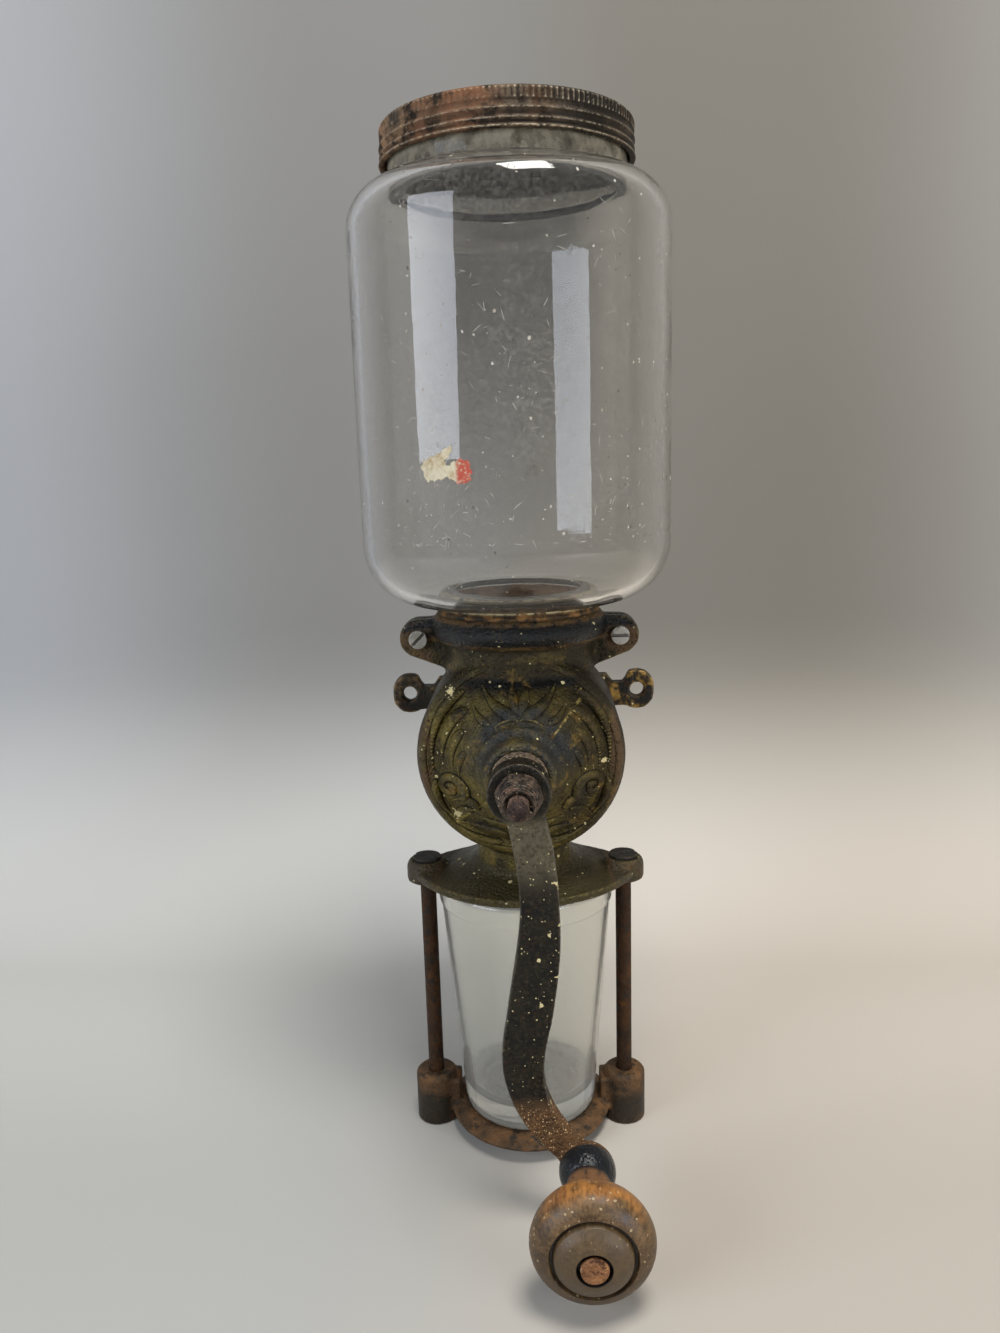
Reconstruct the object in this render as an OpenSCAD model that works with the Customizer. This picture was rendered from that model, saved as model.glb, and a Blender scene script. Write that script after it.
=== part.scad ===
// Wall mounted coffee mill with a glass hopper, a front crank and a spring held catch cup.
// Origin: midway between the two wall screw holes, on the wall plane. Front is -Y, up is +Z.
// Depths named *_d are measured from the wall towards the front.

/* [Hopper jar and lid] */
// Outer radius of the hopper jar
jar_r = 64; // [62:0.5:64.5]
// Distance of the jar, collar and cup axis from the wall
axis_d = 67; // [66.5:0.5:68]
// Height of the flat underside of the jar
jar_floor_z = 54.5; // [54.5:0.5:57.5]
// Height of the top of the jar's mouth
jar_top_z = 236; // [225:1:245]
// Thickness of the glass
glass_t = 3.5; // [2.5:0.25:4]
// Radius of the jar's threaded mouth
mouth_r = 46.5; // [44:0.5:48]
// Height of the tin lid
lid_h = 14; // [13:0.5:16]

/* [Casing] */
// Height of the shaft axis below the wall holes
shaft_drop = 7; // [6:0.5:8]
// Outer radius of the grinding drum
drum_r = 43.2; // [42.5:0.1:44]
// Depth of the drum's open rear edge
drum_rear_d = 52; // [51:0.5:53]
// Depth of the raised rim on the drum's face
drum_face_d = 96; // [95:0.5:97]
// Radius of the rolled bead round the collar
bead_r = 37.5; // [36.5:0.25:38]
// Half the distance between the clamp screws
clamp_x = 42.6; // [42.5:0.1:43.5]
// Radius of the plate over the cup
plate_r = 40; // [39.5:0.1:40.5]
// Height of the plate's flat underside
plate_z = -68.5; // [-69:0.5:-66]

/* [Wall bracket] */
// Half the distance between the wall holes
wall_x = 56.4; // [55.5:0.1:58]
// Radius of the wall holes
wall_hole_r = 3.5; // [3:0.1:4]
// Outer radius of the bracket's drum
skirt_r = 36.5; // [35.5:0.5:37]

/* [Crank] */
// Depth of the back of the crank arm
crank_d = 133.5; // [133.5:0.25:135]
// Thickness of the crank arm
arm_t = 7.5; // [6.5:0.5:8.5]
// Distance from the shaft to the knob, downwards at rest
throw_z = 155; // [151:1:157]
// Distance from the shaft to the knob, sideways at rest
throw_x = 23; // [21:0.5:25]
// Radius of the ball at the arm's end
ball_r = 11.3; // [11:0.1:11.8]
// Greatest radius of the wooden knob
knob_r = 23; // [21:0.5:24]
// Length of the wooden knob
knob_l = 28; // [26:0.5:30]
// Radius of the main shaft
shaft_r = 6; // [5.5:0.1:6.2]

/* [Cup and holder] */
// Half the distance between the holder's rods
rod_x = 44; // [44:0.1:45]
// Radius of the rods
rod_r = 3.5; // [3.2:0.05:3.6]
// Radius of the cup's rim
cup_r = 39.7; // [38.5:0.1:39.9]
// Radius of the cup's foot
cup_foot_r = 30; // [28:0.5:31]
// Height of the cup
cup_h = 110.5; // [105:0.1:112]
// Radius of the holder's spring bosses
boss_r = 9.5; // [9.3:0.1:10]
// Turns of wire in each spring
spring_turns = 5; // [4:1:5]

/* [Hidden] */

$fn = 96;
run_fit = 0.05;
gap = 0.3;
eps = 0.01;
shaft_z = -shaft_drop;

// Jar outline
shoulder_r = jar_r - mouth_r - 0.5;
corner_r = 25;
jar_body_h = 163.5;
jar_side_z = jar_floor_z + jar_body_h - shoulder_r;
jar_shoulder_z = jar_side_z + shoulder_r;
outlet_r = 30.2;
outlet_h = 12.5;
outlet_z = jar_floor_z - outlet_h;

// Lid outline
lid_wall = 1;
lid_bore_r = mouth_r + 1.1;
lid_liner_t = 1.2;
lid_top_z = jar_top_z + lid_liner_t + lid_wall + gap;
lid_low_z = lid_top_z - lid_h;

// Collar
ring_seat_h = 4.5;
collar_top_z = jar_floor_z - ring_seat_h;
collar_low_z = collar_top_z - 11.2;
collar_r = outlet_r + 0.8;
seat_z = outlet_z - gap;
neck_r = 32;
clamp_z = collar_low_z + 0.6;
ear_r = 8.2;
ear_t = 6;
split = 0.2;
clamp_shank_r = 2.4;

// Grinding chamber
boss_face_d = crank_d - 18.5;
nose_d = crank_d - 9.5;
nose_r = 14;
sleeve_r = 10.5;
sleeve_bore_r = sleeve_r + run_fit;
chamber_r = 37;
feed_r = 33;
ledge_d = drum_rear_d + 24;
feed_front_d = drum_face_d - 6;
cone_front_d = boss_face_d - 9;
shaft_collar_d = cone_front_d - 4.6;
shaft_collar_t = 3;
worm_d = ledge_d + 4.6;

// Burrs
burr_t = 10;
ring_rear_r = 24;
ring_front_r = 20;
burr_gap = 1.3;
burr_screw_r = 34.8;
pin_d = ledge_d - 10.4;
pin_r = 1.5;
bracket_screw_r = drum_r - 3;

// Lower neck and plate
lower_neck_r = 20.5;
lens_x = rod_x + 7;
lens_r = (lens_x * lens_x + plate_r * plate_r) / (2 * plate_r);
lens_back = 0.7 * plate_r;
lens_back_r = (lens_x * lens_x + lens_back * lens_back) / (2 * lens_back);
lower_neck_d = drum_rear_d + lower_neck_r + 0.5;
plate_edge = 3.5;
lug_r = 9.1;
lug_top_z = plate_z + 7.5;
lug_low_z = plate_z - 3.3;
lug_relief_x = plate_r + gap;

// Rods, springs and holder
rod_low_z = -190.5;
boss_top_z = -166.5;
boss_low_z = -190.7;
boss_roof = 2.5;
boss_bore_r = 7.5;
nut_h = 4;
spring_low_z = rod_low_z + nut_h + 0.4;
spring_top_z = boss_top_z - boss_roof;
wire_r = 0.65;
coil_r = boss_bore_r - wire_r - 0.9;
ring_z = plate_z - gap - cup_h;
ring_r = 37;
ring_t = 5.4;
ring_hole_r = 22;

// Crank
eye_r = 12;
eye_t = 9.5;
nut_d = crank_d + eye_t;
nut_t = 11;
nut_af = 17;
stud_r = 4;
stud_out = 8;
stud_end_d = nut_d + nut_t + stud_out;
ball_out = 10.5;
ball_d = crank_d + ball_out;
spindle_in = 8;
spigot_r = 8.6;
knob_out = 32;
knob_d = crank_d + knob_out;
spindle_r = 4;
rivet_r = 5.3;

// Points of an arc in degrees, in steps of about 9 degrees
function arc(c, r, a0, a1) = let (n = max(2, ceil(abs(a1 - a0) / 9)))
    [for (i = [0:n]) [c[0] + r * cos(a0 + (a1 - a0) * i / n), c[1] + r * sin(a0 + (a1 - a0) * i / n)]];

// Places children with their local Z axis running from the wall to the front, on the shaft axis
module on_shaft() {
    translate([0, 0, shaft_z]) rotate([90, 0, 0]) children();
}

// Turned solid about the shaft axis; points are radius and depth from the wall
module turned(points) {
    on_shaft() rotate_extrude() polygon(points);
}

// Solid of revolution about the jar axis; points are radius and height
module spun(points) {
    translate([0, -axis_d, 0]) rotate_extrude() polygon(points);
}

// Straight round bar from depth d0 to depth d1 at x, z
module bar(x, z, d0, d1, r) {
    translate([x, -d0, z]) rotate([90, 0, 0]) cylinder(h = d1 - d0, r = r);
}

// Hopper jar: rounded glass body, wide mouth above and short outlet neck below
module hopper_jar() {
    side_c = jar_r - corner_r;
    top_c = jar_r - shoulder_r;
    outside = concat([[outlet_r, outlet_z], [outlet_r, jar_floor_z]],
        arc([side_c, jar_floor_z + corner_r], corner_r, -90, 0),
        arc([top_c, jar_side_z], shoulder_r, 0, 90),
        [[mouth_r, jar_shoulder_z], [mouth_r, jar_top_z]]);
    inside = concat([[mouth_r - glass_t, jar_top_z], [mouth_r - glass_t, jar_shoulder_z - glass_t]],
        arc([top_c, jar_side_z], shoulder_r - glass_t, 90, 0),
        arc([side_c, jar_floor_z + corner_r], corner_r - glass_t, 0, -90),
        [[outlet_r - glass_t, jar_floor_z + glass_t], [outlet_r - glass_t, outlet_z]]);
    color("lightsteelblue", 0.5) spun(concat(outside, inside));
}

// Tin lid: rolled lip, thread band, groove and upright edge under a flat top
module jar_lid() {
    r = lid_bore_r;
    z = lid_low_z;
    t = lid_top_z;
    color("peru") spun([[r, z], [r + 1.6, z], [r + 2.4, z + 0.5], [r + 2.4, z + 1.2], [r + 1.6, z + 1.8],
        [r + 1.1, z + 2.6], [r + 1.1, z + 3.2], [r + 1.8, z + 4], [r + 1.8, z + 4.8], [r + 1, z + 5.6],
        [r + 1, z + 6.2], [r + 1.6, z + 7], [r + 1.6, t - 1], [r + 0.6, t], [0, t],
        [0, t - lid_wall], [r, t - lid_wall]]);
}

// Card liner between the jar's mouth and the lid
module lid_liner() {
    color("tan") translate([0, -axis_d, jar_top_z + gap / 2])
        cylinder(h = lid_liner_t, r = mouth_r - 0.5);
}

// Sheet iron ring round the outlet neck, with a bent tab
module jar_ring() {
    ring_out = outlet_r + 4.2;
    h = jar_floor_z - gap - collar_top_z;
    tab_a = -12;
    color("sienna") translate([0, -axis_d, collar_top_z]) {
        difference() {
            cylinder(h = h, r = ring_out);
            translate([0, 0, -eps]) cylinder(h = h + 2 * eps, r = outlet_r + 0.4);
        }
        rotate([0, 0, tab_a]) translate([ring_out - 0.6, -3, 0.4]) cube([3, 6, h - 0.4]);
    }
}

// Half collar outline: rolled bead over a sloping underside
module collar_half() {
    rim_r = bead_r - 2;
    bead_c = bead_r - 5;
    outline = concat([[collar_r, collar_low_z], [rim_r, collar_low_z]],
        arc([bead_c, collar_low_z + 5.4], 5, -53, 53),
        [[rim_r, collar_top_z - 0.8], [rim_r - 0.6, collar_top_z], [collar_r, collar_top_z]]);
    translate([0, -axis_d, 0]) rotate([0, 0, 180]) rotate_extrude(angle = 180) polygon(outline);
}

// Side ear of the collar with its gusset, one on each side; f is 1 in front and -1 behind
module collar_ears(f) {
    d0 = (f > 0) ? axis_d + split : axis_d - split - ear_t;
    root_x = (f > 0) ? neck_r - 2 : collar_r + 1;
    root_z = (f > 0) ? collar_low_z - 13 : collar_low_z + 0.6;
    for (s = [-1, 1]) translate([0, -d0, 0]) rotate([90, 0, 0]) linear_extrude(ear_t) difference() {
        union() {
            translate([s * clamp_x, clamp_z]) circle(r = ear_r);
            polygon([[s * root_x, root_z], [s * (clamp_x + 3), clamp_z - 7.6],
                [s * (clamp_x + 1), clamp_z + 8.1], [s * (collar_r + 1), collar_top_z - 2]]);
        }
        translate([s * clamp_x, clamp_z]) circle(r = clamp_shank_r + gap / 3);
    }
}

// Outer body of the casing before its hollows are cut
module casing_blank() {
    turned(concat([[0, drum_rear_d], [drum_r, drum_rear_d], [drum_r, drum_face_d - 4],
        [drum_r - 1.4, drum_face_d - 1.6], [drum_r - 4.7, drum_face_d], [drum_r - 7.2, drum_face_d],
        [drum_r - 8.2, drum_face_d - 0.6], [19, boss_face_d - 3.5], [18, boss_face_d - 3],
        [18, boss_face_d - 0.8],
        [17.2, boss_face_d], [nose_r + 1, boss_face_d + 0.8], [nose_r, nose_d - 0.8],
        [nose_r - 0.8, nose_d],
        [0, nose_d]]));
    neck();
    collar_half();
    collar_ears(1);
    lower_neck();
}

// Round throat neck: a full ledge on top, and below it only what stands in front of the wall bracket
module neck() {
    ledge_z = drum_r + shaft_z + 1;
    translate([0, -axis_d, ledge_z]) cylinder(h = collar_low_z + 0.4 - ledge_z, r = neck_r);
    translate([0, -axis_d, ledge_z + 1]) cylinder(h = seat_z - ledge_z - 1, r = collar_r - gap);
    intersection() {
        translate([0, -axis_d, shaft_z + 20]) cylinder(h = ledge_z - shaft_z - 19, r = neck_r);
        translate([-100, -drum_rear_d - 101, 0]) cube([200, 100, 60]);
    }
}

// Discharge neck, cup plate and the lugs that hold the rods
module lower_neck() {
    top_z = plate_z + plate_edge;
    translate([0, -lower_neck_d, plate_z + 1]) cylinder(h = 29, r = lower_neck_r);
    intersection() {
        union() {
            intersection() {
                translate([0, -axis_d - plate_r + lens_r, plate_z]) cylinder(h = plate_edge, r = lens_r);
                translate([0, -axis_d + lens_back - lens_back_r, plate_z])
                    cylinder(h = plate_edge, r = lens_back_r);
            }
            translate([0, -axis_d - 3, 0]) rotate_extrude() polygon([[0, plate_z + 1],
                [plate_r - 5, plate_z + 1],
                [plate_r - 5, top_z + 0.4], [lower_neck_r + 5, top_z + 4], [lower_neck_r + 1.5, top_z + 7],
                [lower_neck_r - 1, top_z + 11.5], [0, top_z + 11.5]]);
        }
        translate([-100, -200, plate_z - 20]) cube([200, 200 - axis_d + 26, 60]);
    }
    for (s = [-1, 1]) difference() {
        translate([s * rod_x, -axis_d, 0]) rotate_extrude()
            polygon(concat([[0, lug_low_z], [lug_r, lug_low_z]],
            arc([lug_r - 4, lug_top_z - 4], 4, 0, 90), [[0, lug_top_z]]));
        translate([-lug_relief_x, -axis_d - 20, lug_low_z - 1])
            cube([2 * lug_relief_x, 40, plate_z - lug_low_z + 1.5]);
    }
}

// Front casing: half collar, throat, drum, bearing nose, discharge neck and cup plate in one casting
module front_casing() {
    color("darkolivegreen") difference() {
        casing_blank();
        turned([[0, drum_rear_d - 1], [chamber_r, drum_rear_d - 1], [chamber_r, ledge_d], [feed_r, ledge_d],
            [feed_r, feed_front_d], [nose_r, cone_front_d], [sleeve_bore_r, cone_front_d],
            [sleeve_bore_r, nose_d + 1], [0, nose_d + 1]]);
        throat();
        translate([-10, 1 - ledge_d, plate_z - 1]) cube([20, ledge_d - drum_rear_d - 5.5, 40]);
        for (s = [-1, 1]) {
            translate([s * rod_x, -axis_d, lug_low_z - 1]) cylinder(h = 30, r = rod_r + run_fit);
            translate([s * rod_x, -axis_d, lug_top_z - 2]) cylinder(h = 10, r = 2 * rod_r - 0.6);
        }
        bracket_screw_places() bar(0, 0, drum_rear_d - 1, drum_rear_d + 11, 1.65);
        burr_screw_places() bar(0, 0, ledge_d - 1, ledge_d + 7, 1.55);
    }
}

// Funnel from the jar's outlet to the feed chamber
module throat() {
    throat_d = axis_d + 7;
    translate([0, -throat_d, shaft_z + feed_r - 3])
        cylinder(h = seat_z - shaft_z - feed_r + 3.5, r1 = 11, r2 = 19);
    translate([-10, -feed_front_d + 1, shaft_z + feed_r - 10]) cube([20, feed_front_d - ledge_d - 2, 14]);
}

// Four places round the drum for the bracket's screws
module bracket_screw_places() {
    for (a = [45:90:315]) translate([bracket_screw_r * cos(a), 0, shaft_z + bracket_screw_r * sin(a)])
        children();
}

// Three places on the ring burr for its screws
module burr_screw_places() {
    for (a = [90, 210, 330]) translate([burr_screw_r * cos(a), 0, shaft_z + burr_screw_r * sin(a)])
        children();
}

// Rear half of the collar, drawn up to the front half round the jar's outlet
module collar_clamp() {
    color("dimgray") {
        difference() {
            translate([0, -2 * axis_d, 0]) mirror([0, 1, 0]) collar_half();
            translate([-100, -axis_d - 100, 0]) cube([200, 100 + split, 100]);
            translate([0, -axis_d, collar_low_z - 1]) cylinder(h = 1.4, r = neck_r + gap);
        }
        collar_ears(-1);
    }
}

// Slotted cheese head screw along the depth axis, head towards the front
module slotted_screw(x, z, head_d, head_r, head_t, shank_r, shank_l, turn) {
    difference() {
        union() {
            bar(x, z, head_d, head_d + head_t, head_r);
            bar(x, z, head_d - shank_l, head_d + eps, shank_r);
        }
        translate([x, -head_d - head_t, z]) rotate([0, turn, 0])
            cube([2 * head_r + 1, 2, 1.2], center = true);
    }
}

// Two screws that close the split collar
module clamp_screws() {
    color("silver") {
        slotted_screw(-clamp_x, clamp_z, axis_d + split + ear_t, 3.9, 2.6, clamp_shank_r, 2 * ear_t, -45);
        slotted_screw(clamp_x, clamp_z, axis_d + split + ear_t, 3.9, 2.6, clamp_shank_r, 2 * ear_t, 0);
    }
}

// Wall bracket: cover over the drum's back, open skirt and two wall ears
module back_bracket() {
    cover_d = drum_rear_d - 6;
    ear_waist = 16;
    wall_ear_r = 8.4;
    wall_ear_rise = 1.6;
    color("dimgray") difference() {
        union() {
            turned([[0, cover_d], [drum_r, cover_d], [drum_r, drum_rear_d], [0, drum_rear_d]]);
            turned([[skirt_r - 4, 0], [skirt_r, 0], [skirt_r, cover_d + 1], [skirt_r - 4, cover_d + 1]]);
            bar(0, shaft_z, cover_d - 12, cover_d + 1, 14);
            for (s = [-1, 1]) rotate([90, 0, 0]) linear_extrude(6) {
                for (e = [-1, 1]) translate([s * wall_x, e * wall_ear_rise]) circle(r = wall_ear_r);
                translate([s * wall_x, 0]) square([2 * wall_ear_r, 2 * wall_ear_rise], center = true);
                translate([s * (wall_x + skirt_r - 3) / 2, 0])
                    square([wall_x - skirt_r + 3, ear_waist], center = true);
            }
        }
        for (s = [-1, 1]) bar(s * wall_x, 0, -1, 7, wall_hole_r);
        bar(0, shaft_z, cover_d - 13, drum_rear_d + 1, 9.05);
        bracket_screw_places() bar(0, 0, cover_d - 1, drum_rear_d + 1, 1.9);
    }
}

// Four screws from behind that hold the bracket to the drum
module bracket_screws() {
    cover_d = drum_rear_d - 6;
    color("gray") bracket_screw_places() {
        bar(0, 0, cover_d - 2.4, cover_d, 2.9);
        bar(0, 0, cover_d - eps, drum_rear_d + 10, 1.6);
    }
}

// Fixed ring burr with a tapering bore
module ring_burr() {
    color("slategray") difference() {
        turned([[ring_rear_r, ledge_d - burr_t], [chamber_r - gap, ledge_d - burr_t],
            [chamber_r - gap, ledge_d],
            [ring_front_r, ledge_d]]);
        burr_screw_places() bar(0, 0, ledge_d - burr_t - 1, ledge_d + 1, 1.6);
    }
}

// Three screws that hold the ring burr against its ledge
module ring_burr_screws() {
    color("gray") burr_screw_places() {
        bar(0, 0, ledge_d - burr_t - 1.6, ledge_d - burr_t, 1.9);
        bar(0, 0, ledge_d - burr_t - eps, ledge_d + 6, 1.5);
    }
}

// Turning burr: toothed cone keyed to the shaft
module cone_burr() {
    teeth = 18;
    color("slategray") difference() {
        turned([[shaft_r + run_fit, ledge_d - burr_t - 4], [ring_rear_r - 0.6, ledge_d - burr_t - 4],
            [ring_rear_r - burr_gap, ledge_d - burr_t], [ring_front_r - burr_gap, ledge_d],
            [ring_front_r - 6, ledge_d + 4], [shaft_r + run_fit, ledge_d + 4]]);
        for (i = [0:teeth - 1]) on_shaft() rotate([0, 0, 360 * i / teeth])
            translate([ring_front_r, 0, ledge_d - 3]) rotate([0, 22, 0]) cube([8, 1.4, 22], center = true);
        translate([0, -pin_d, shaft_z]) cylinder(h = 3 * ring_front_r, r = pin_r + run_fit, center = true);
    }
}

// Feed worm that moves the beans back to the burrs: a hub with slanting blades
module feed_worm() {
    worm_l = shaft_collar_d - shaft_collar_t - gap - worm_d;
    blade_t = worm_l / 8.5;
    blade_r = shaft_r + 8;
    first = 0.22 * worm_l;
    slant = asin((first - blade_t / 2 - 0.1) / blade_r);
    color("slategray") on_shaft() translate([0, 0, worm_d]) difference() {
        union() {
            cylinder(h = worm_l, r = shaft_r + 3);
            for (i = [0:2]) translate([0, 0, first + 0.28 * worm_l * i]) rotate([0, slant, 0])
                cylinder(h = blade_t, r = blade_r, center = true);
        }
        translate([0, 0, -1]) cylinder(h = worm_l + 2, r = shaft_r + run_fit);
    }
}

// Pin that keys the cone burr to the shaft
module drive_pin() {
    color("gray") translate([0, -pin_d, shaft_z]) cylinder(h = 38, r = pin_r, center = true);
}

// Bearing bush in the bracket's cover
module rear_bush() {
    color("darkgoldenrod") turned([[shaft_r + run_fit, drum_rear_d - 18], [9, drum_rear_d - 18],
        [9, drum_rear_d - 0.5], [shaft_r + run_fit, drum_rear_d - 0.5]]);
}

// Main shaft with its thrust collar and threaded front end
module main_shaft() {
    back_d = shaft_collar_d - shaft_collar_t;
    collar_out = shaft_r + 3;
    color("gray") difference() {
        turned([[0, drum_rear_d - 17], [shaft_r, drum_rear_d - 17], [shaft_r, back_d], [collar_out, back_d],
            [collar_out, shaft_collar_d], [shaft_r, shaft_collar_d], [shaft_r, nut_d - 0.5],
            [stud_r, nut_d - 0.5],
            [stud_r, stud_end_d - 1.6], [stud_r - 1.2, stud_end_d - 0.4], [0, stud_end_d]]);
        translate([0, -pin_d, shaft_z]) cylinder(h = 3 * ring_front_r, r = pin_r + run_fit, center = true);
    }
}

// Ring between the shaft's collar and the adjusting sleeve
module thrust_ring() {
    thrust_d = shaft_collar_d + 0.2;
    color("darkgoldenrod") turned([[shaft_r + run_fit, thrust_d], [sleeve_r - 0.6, thrust_d],
        [sleeve_r - 0.6, thrust_d + 3.4], [shaft_r + run_fit, thrust_d + 3.4]]);
}

// Threaded sleeve in the nose that sets how fine the mill grinds
module adjusting_sleeve() {
    sleeve_d = cone_front_d - 0.8;
    end_d = crank_d - 0.8;
    b = shaft_r + run_fit;
    color("dimgray") turned([[b, sleeve_d], [sleeve_r, sleeve_d], [sleeve_r, nose_d + 1],
        [sleeve_r + 1, nose_d + 1.6],
        [sleeve_r + 1, end_d - 0.8], [sleeve_r, end_d], [b, end_d]]);
}

// Centre line of the arm: sideways offset at a height below the shaft, an S in two half waves
function arm_x(t) = let (h = t * throw_z)
    throw_x * pow(t, 5) + 6.6 * sin(180 * min(1, h / 92)) - 7 * sin(180 * max(0, min(1, (h - 92) / 66)));

// Half width of the arm: narrow at the waist, wide in the middle
function arm_w(t) = 7.4 + 1.5 * sin(180 * min(1, max(0, (t - 0.3) / 0.5)));

// Crank arm: round eye, flat S curved arm and ball end with a spigot for the knob
module crank_arm() {
    steps = 36;
    t1 = 0.985;
    right = [for (i = [0:steps]) let (t = t1 * i / steps) [arm_x(t) + arm_w(t), -t * throw_z]];
    left = [for (i = [steps:-1:0]) let (t = t1 * i / steps) [arm_x(t) - arm_w(t), -t * throw_z]];
    color("black") difference() {
        union() {
            on_shaft() translate([0, 0, crank_d]) linear_extrude(arm_t) polygon(concat(right, left));
            bar(0, shaft_z, crank_d, crank_d + eye_t, eye_r);
            translate([throw_x, -ball_d, shaft_z - throw_z]) sphere(r = ball_r);
            bar(throw_x, shaft_z - throw_z, ball_d, knob_d - 0.4, spigot_r);
        }
        bar(0, shaft_z, crank_d - 1, crank_d + eye_t + 1, shaft_r + run_fit);
        bar(throw_x, shaft_z - throw_z, ball_d - spindle_in - 0.2, knob_d + 1, spindle_r + run_fit);
    }
}

// Hexagon nut that holds the crank on the shaft, one corner up
module crank_nut() {
    color("dimgray") difference() {
        on_shaft() translate([0, 0, nut_d]) rotate([0, 0, 30])
            cylinder(h = nut_t, r = nut_af / sqrt(3), $fn = 6);
        bar(0, shaft_z, nut_d - 1, nut_d + nut_t + 1, stud_r + run_fit);
    }
}

// Rivet that the knob turns on
module knob_spindle() {
    end_d = knob_d + knob_l - 1;
    color("sienna") {
        bar(throw_x, shaft_z - throw_z, ball_d - spindle_in, end_d + eps, spindle_r);
        bar(throw_x, shaft_z - throw_z, end_d, end_d + 2.2, rivet_r);
    }
}

// Turned wooden knob with a groove round its end face
module knob() {
    b = spindle_r + 0.06;
    l = knob_l;
    outline = [[0.4, 0], [0.5, 0.02], [0.72, 0.13], [0.87, 0.25], [0.96, 0.38], [1, 0.52], [0.97, 0.65],
        [0.9, 0.74], [0.79, 0.81], [0.67, 0.85], [0.63, 0.81], [0.6, 0.86], [0.5, 0.94], [0.36, 0.99]];
    color("saddlebrown") translate([throw_x, -knob_d, shaft_z - throw_z]) rotate([90, 0, 0])
        rotate_extrude()
        polygon(concat([[b, 0]], [for (p = outline) [knob_r * p[0], l * p[1]]],
            [[rivet_r + 1, l], [rivet_r + 1, l - 4], [b, l - 4]]));
}

// Rod with a slotted head in the lug and a threaded lower end
module rod(s) {
    head_r = 2 * rod_r - 0.8;
    color("sienna") difference() {
        translate([s * rod_x, -axis_d, 0]) {
            translate([0, 0, rod_low_z]) cylinder(h = lug_top_z - 2 - rod_low_z + eps, r = rod_r);
            translate([0, 0, lug_top_z - 2]) cylinder(h = 2.6, r = head_r);
        }
        translate([s * rod_x, -axis_d, lug_top_z + 0.6]) rotate([0, 0, 20 * s])
            cube([20, 1.3, 2], center = true);
    }
}

module left_rod() {
    rod(-1);
}

module right_rod() {
    rod(1);
}

// Round nuts on the lower ends of the rods, under the springs
module rod_nuts() {
    color("gray") for (s = [-1, 1]) translate([s * rod_x, -axis_d, rod_low_z + 0.2]) difference() {
        cylinder(h = nut_h, r = boss_bore_r - 0.8);
        translate([0, 0, -1]) cylinder(h = nut_h + 2, r = rod_r + run_fit);
    }
}

// Cup holder: ring with a sloping edge between two bosses that slide on the rods
module cup_holder() {
    web_x = cup_foot_r + 2.5;
    color("sienna") difference() {
        union() {
            spun([[ring_hole_r, ring_z - ring_t], [ring_r - 1, ring_z - ring_t],
                [ring_r, ring_z - ring_t + 1],
                [ring_r, ring_z - 3],
                [cup_foot_r + 1.6, ring_z], [ring_hole_r, ring_z]]);
            for (s = [-1, 1]) {
                translate([s * rod_x, -axis_d, boss_low_z])
                    cylinder(h = boss_top_z - boss_low_z - 1.5, r = boss_r);
                translate([s * rod_x, -axis_d, boss_top_z - 1.5])
                    cylinder(h = 1.5, r1 = boss_r, r2 = boss_r - 1.5);
                translate([s * (web_x + rod_x) / 2, -axis_d, (boss_top_z - 3 + ring_z - ring_t) / 2])
                    cube([rod_x - web_x, 13, boss_top_z - 3 - ring_z + ring_t], center = true);
            }
        }
        for (s = [-1, 1]) translate([s * rod_x, -axis_d, 0]) {
            translate([0, 0, boss_low_z - 1]) cylinder(h = 40, r = rod_r + run_fit);
            translate([0, 0, boss_low_z - 1])
                cylinder(h = boss_top_z - boss_roof - boss_low_z + 1, r = boss_bore_r);
        }
    }
}

// Coil spring as one tube: rings of six points along a helix
spring_rings = 8 * spring_turns;
spring_rise = spring_top_z - spring_low_z - 2 * wire_r - 0.8;
function spring_ring(i) = let (a = 45 * i, z = spring_low_z + wire_r + 0.4 + spring_rise * i / spring_rings)
    [for (k = [0:5]) let (q = coil_r + wire_r * cos(60 * k))
        [q * cos(a), q * sin(a), z + wire_r * sin(60 * k)]];
spring_points = [for (i = [0:spring_rings]) each spring_ring(i)];
spring_faces = concat([[5, 4, 3, 2, 1, 0]],
    [for (i = [0:spring_rings - 1]) for (k = [0:5])
        let (a = 6 * i + k, b = 6 * i + (k + 1) % 6) [a, b, b + 6, a + 6]],
    [[for (k = [0:5]) 6 * spring_rings + k]]);
// Least distance between points one turn apart
spring_gap = min([for (i = [0:spring_rings - 8]) for (k = [0:5]) for (m = [0:5])
    norm(spring_points[6 * i + k] - spring_points[6 * (i + 8) + m])]);
echo(spring_gap = spring_gap);

module spring(s) {
    color("dimgray") translate([s * rod_x, -axis_d, 0])
        polyhedron(points = spring_points, faces = spring_faces);
}

module left_spring() {
    spring(-1);
}

module right_spring() {
    spring(1);
}

// Catch cup: tapered glass with a rim band and a thick foot
module catch_cup() {
    z0 = ring_z;
    z1 = ring_z + cup_h;
    foot_t = 9;
    band = 10;
    wall = 3;
    rake = (cup_r - 0.8 - cup_foot_r) / cup_h;
    r_band = cup_foot_r + rake * (cup_h - band);
    color("lightsteelblue", 0.5) spun([[0, z0], [cup_foot_r - 1.5, z0], [cup_foot_r, z0 + 1.5],
        [r_band, z1 - band], [r_band + 0.8, z1 - band + 0.8], [cup_r, z1 - 1], [cup_r - 0.8, z1],
        [cup_r - wall, z1], [cup_foot_r + rake * foot_t - wall + 0.6, z0 + foot_t + 3],
        [cup_foot_r - wall - 3, z0 + foot_t], [0, z0 + foot_t - 0.5]]);
}

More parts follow.
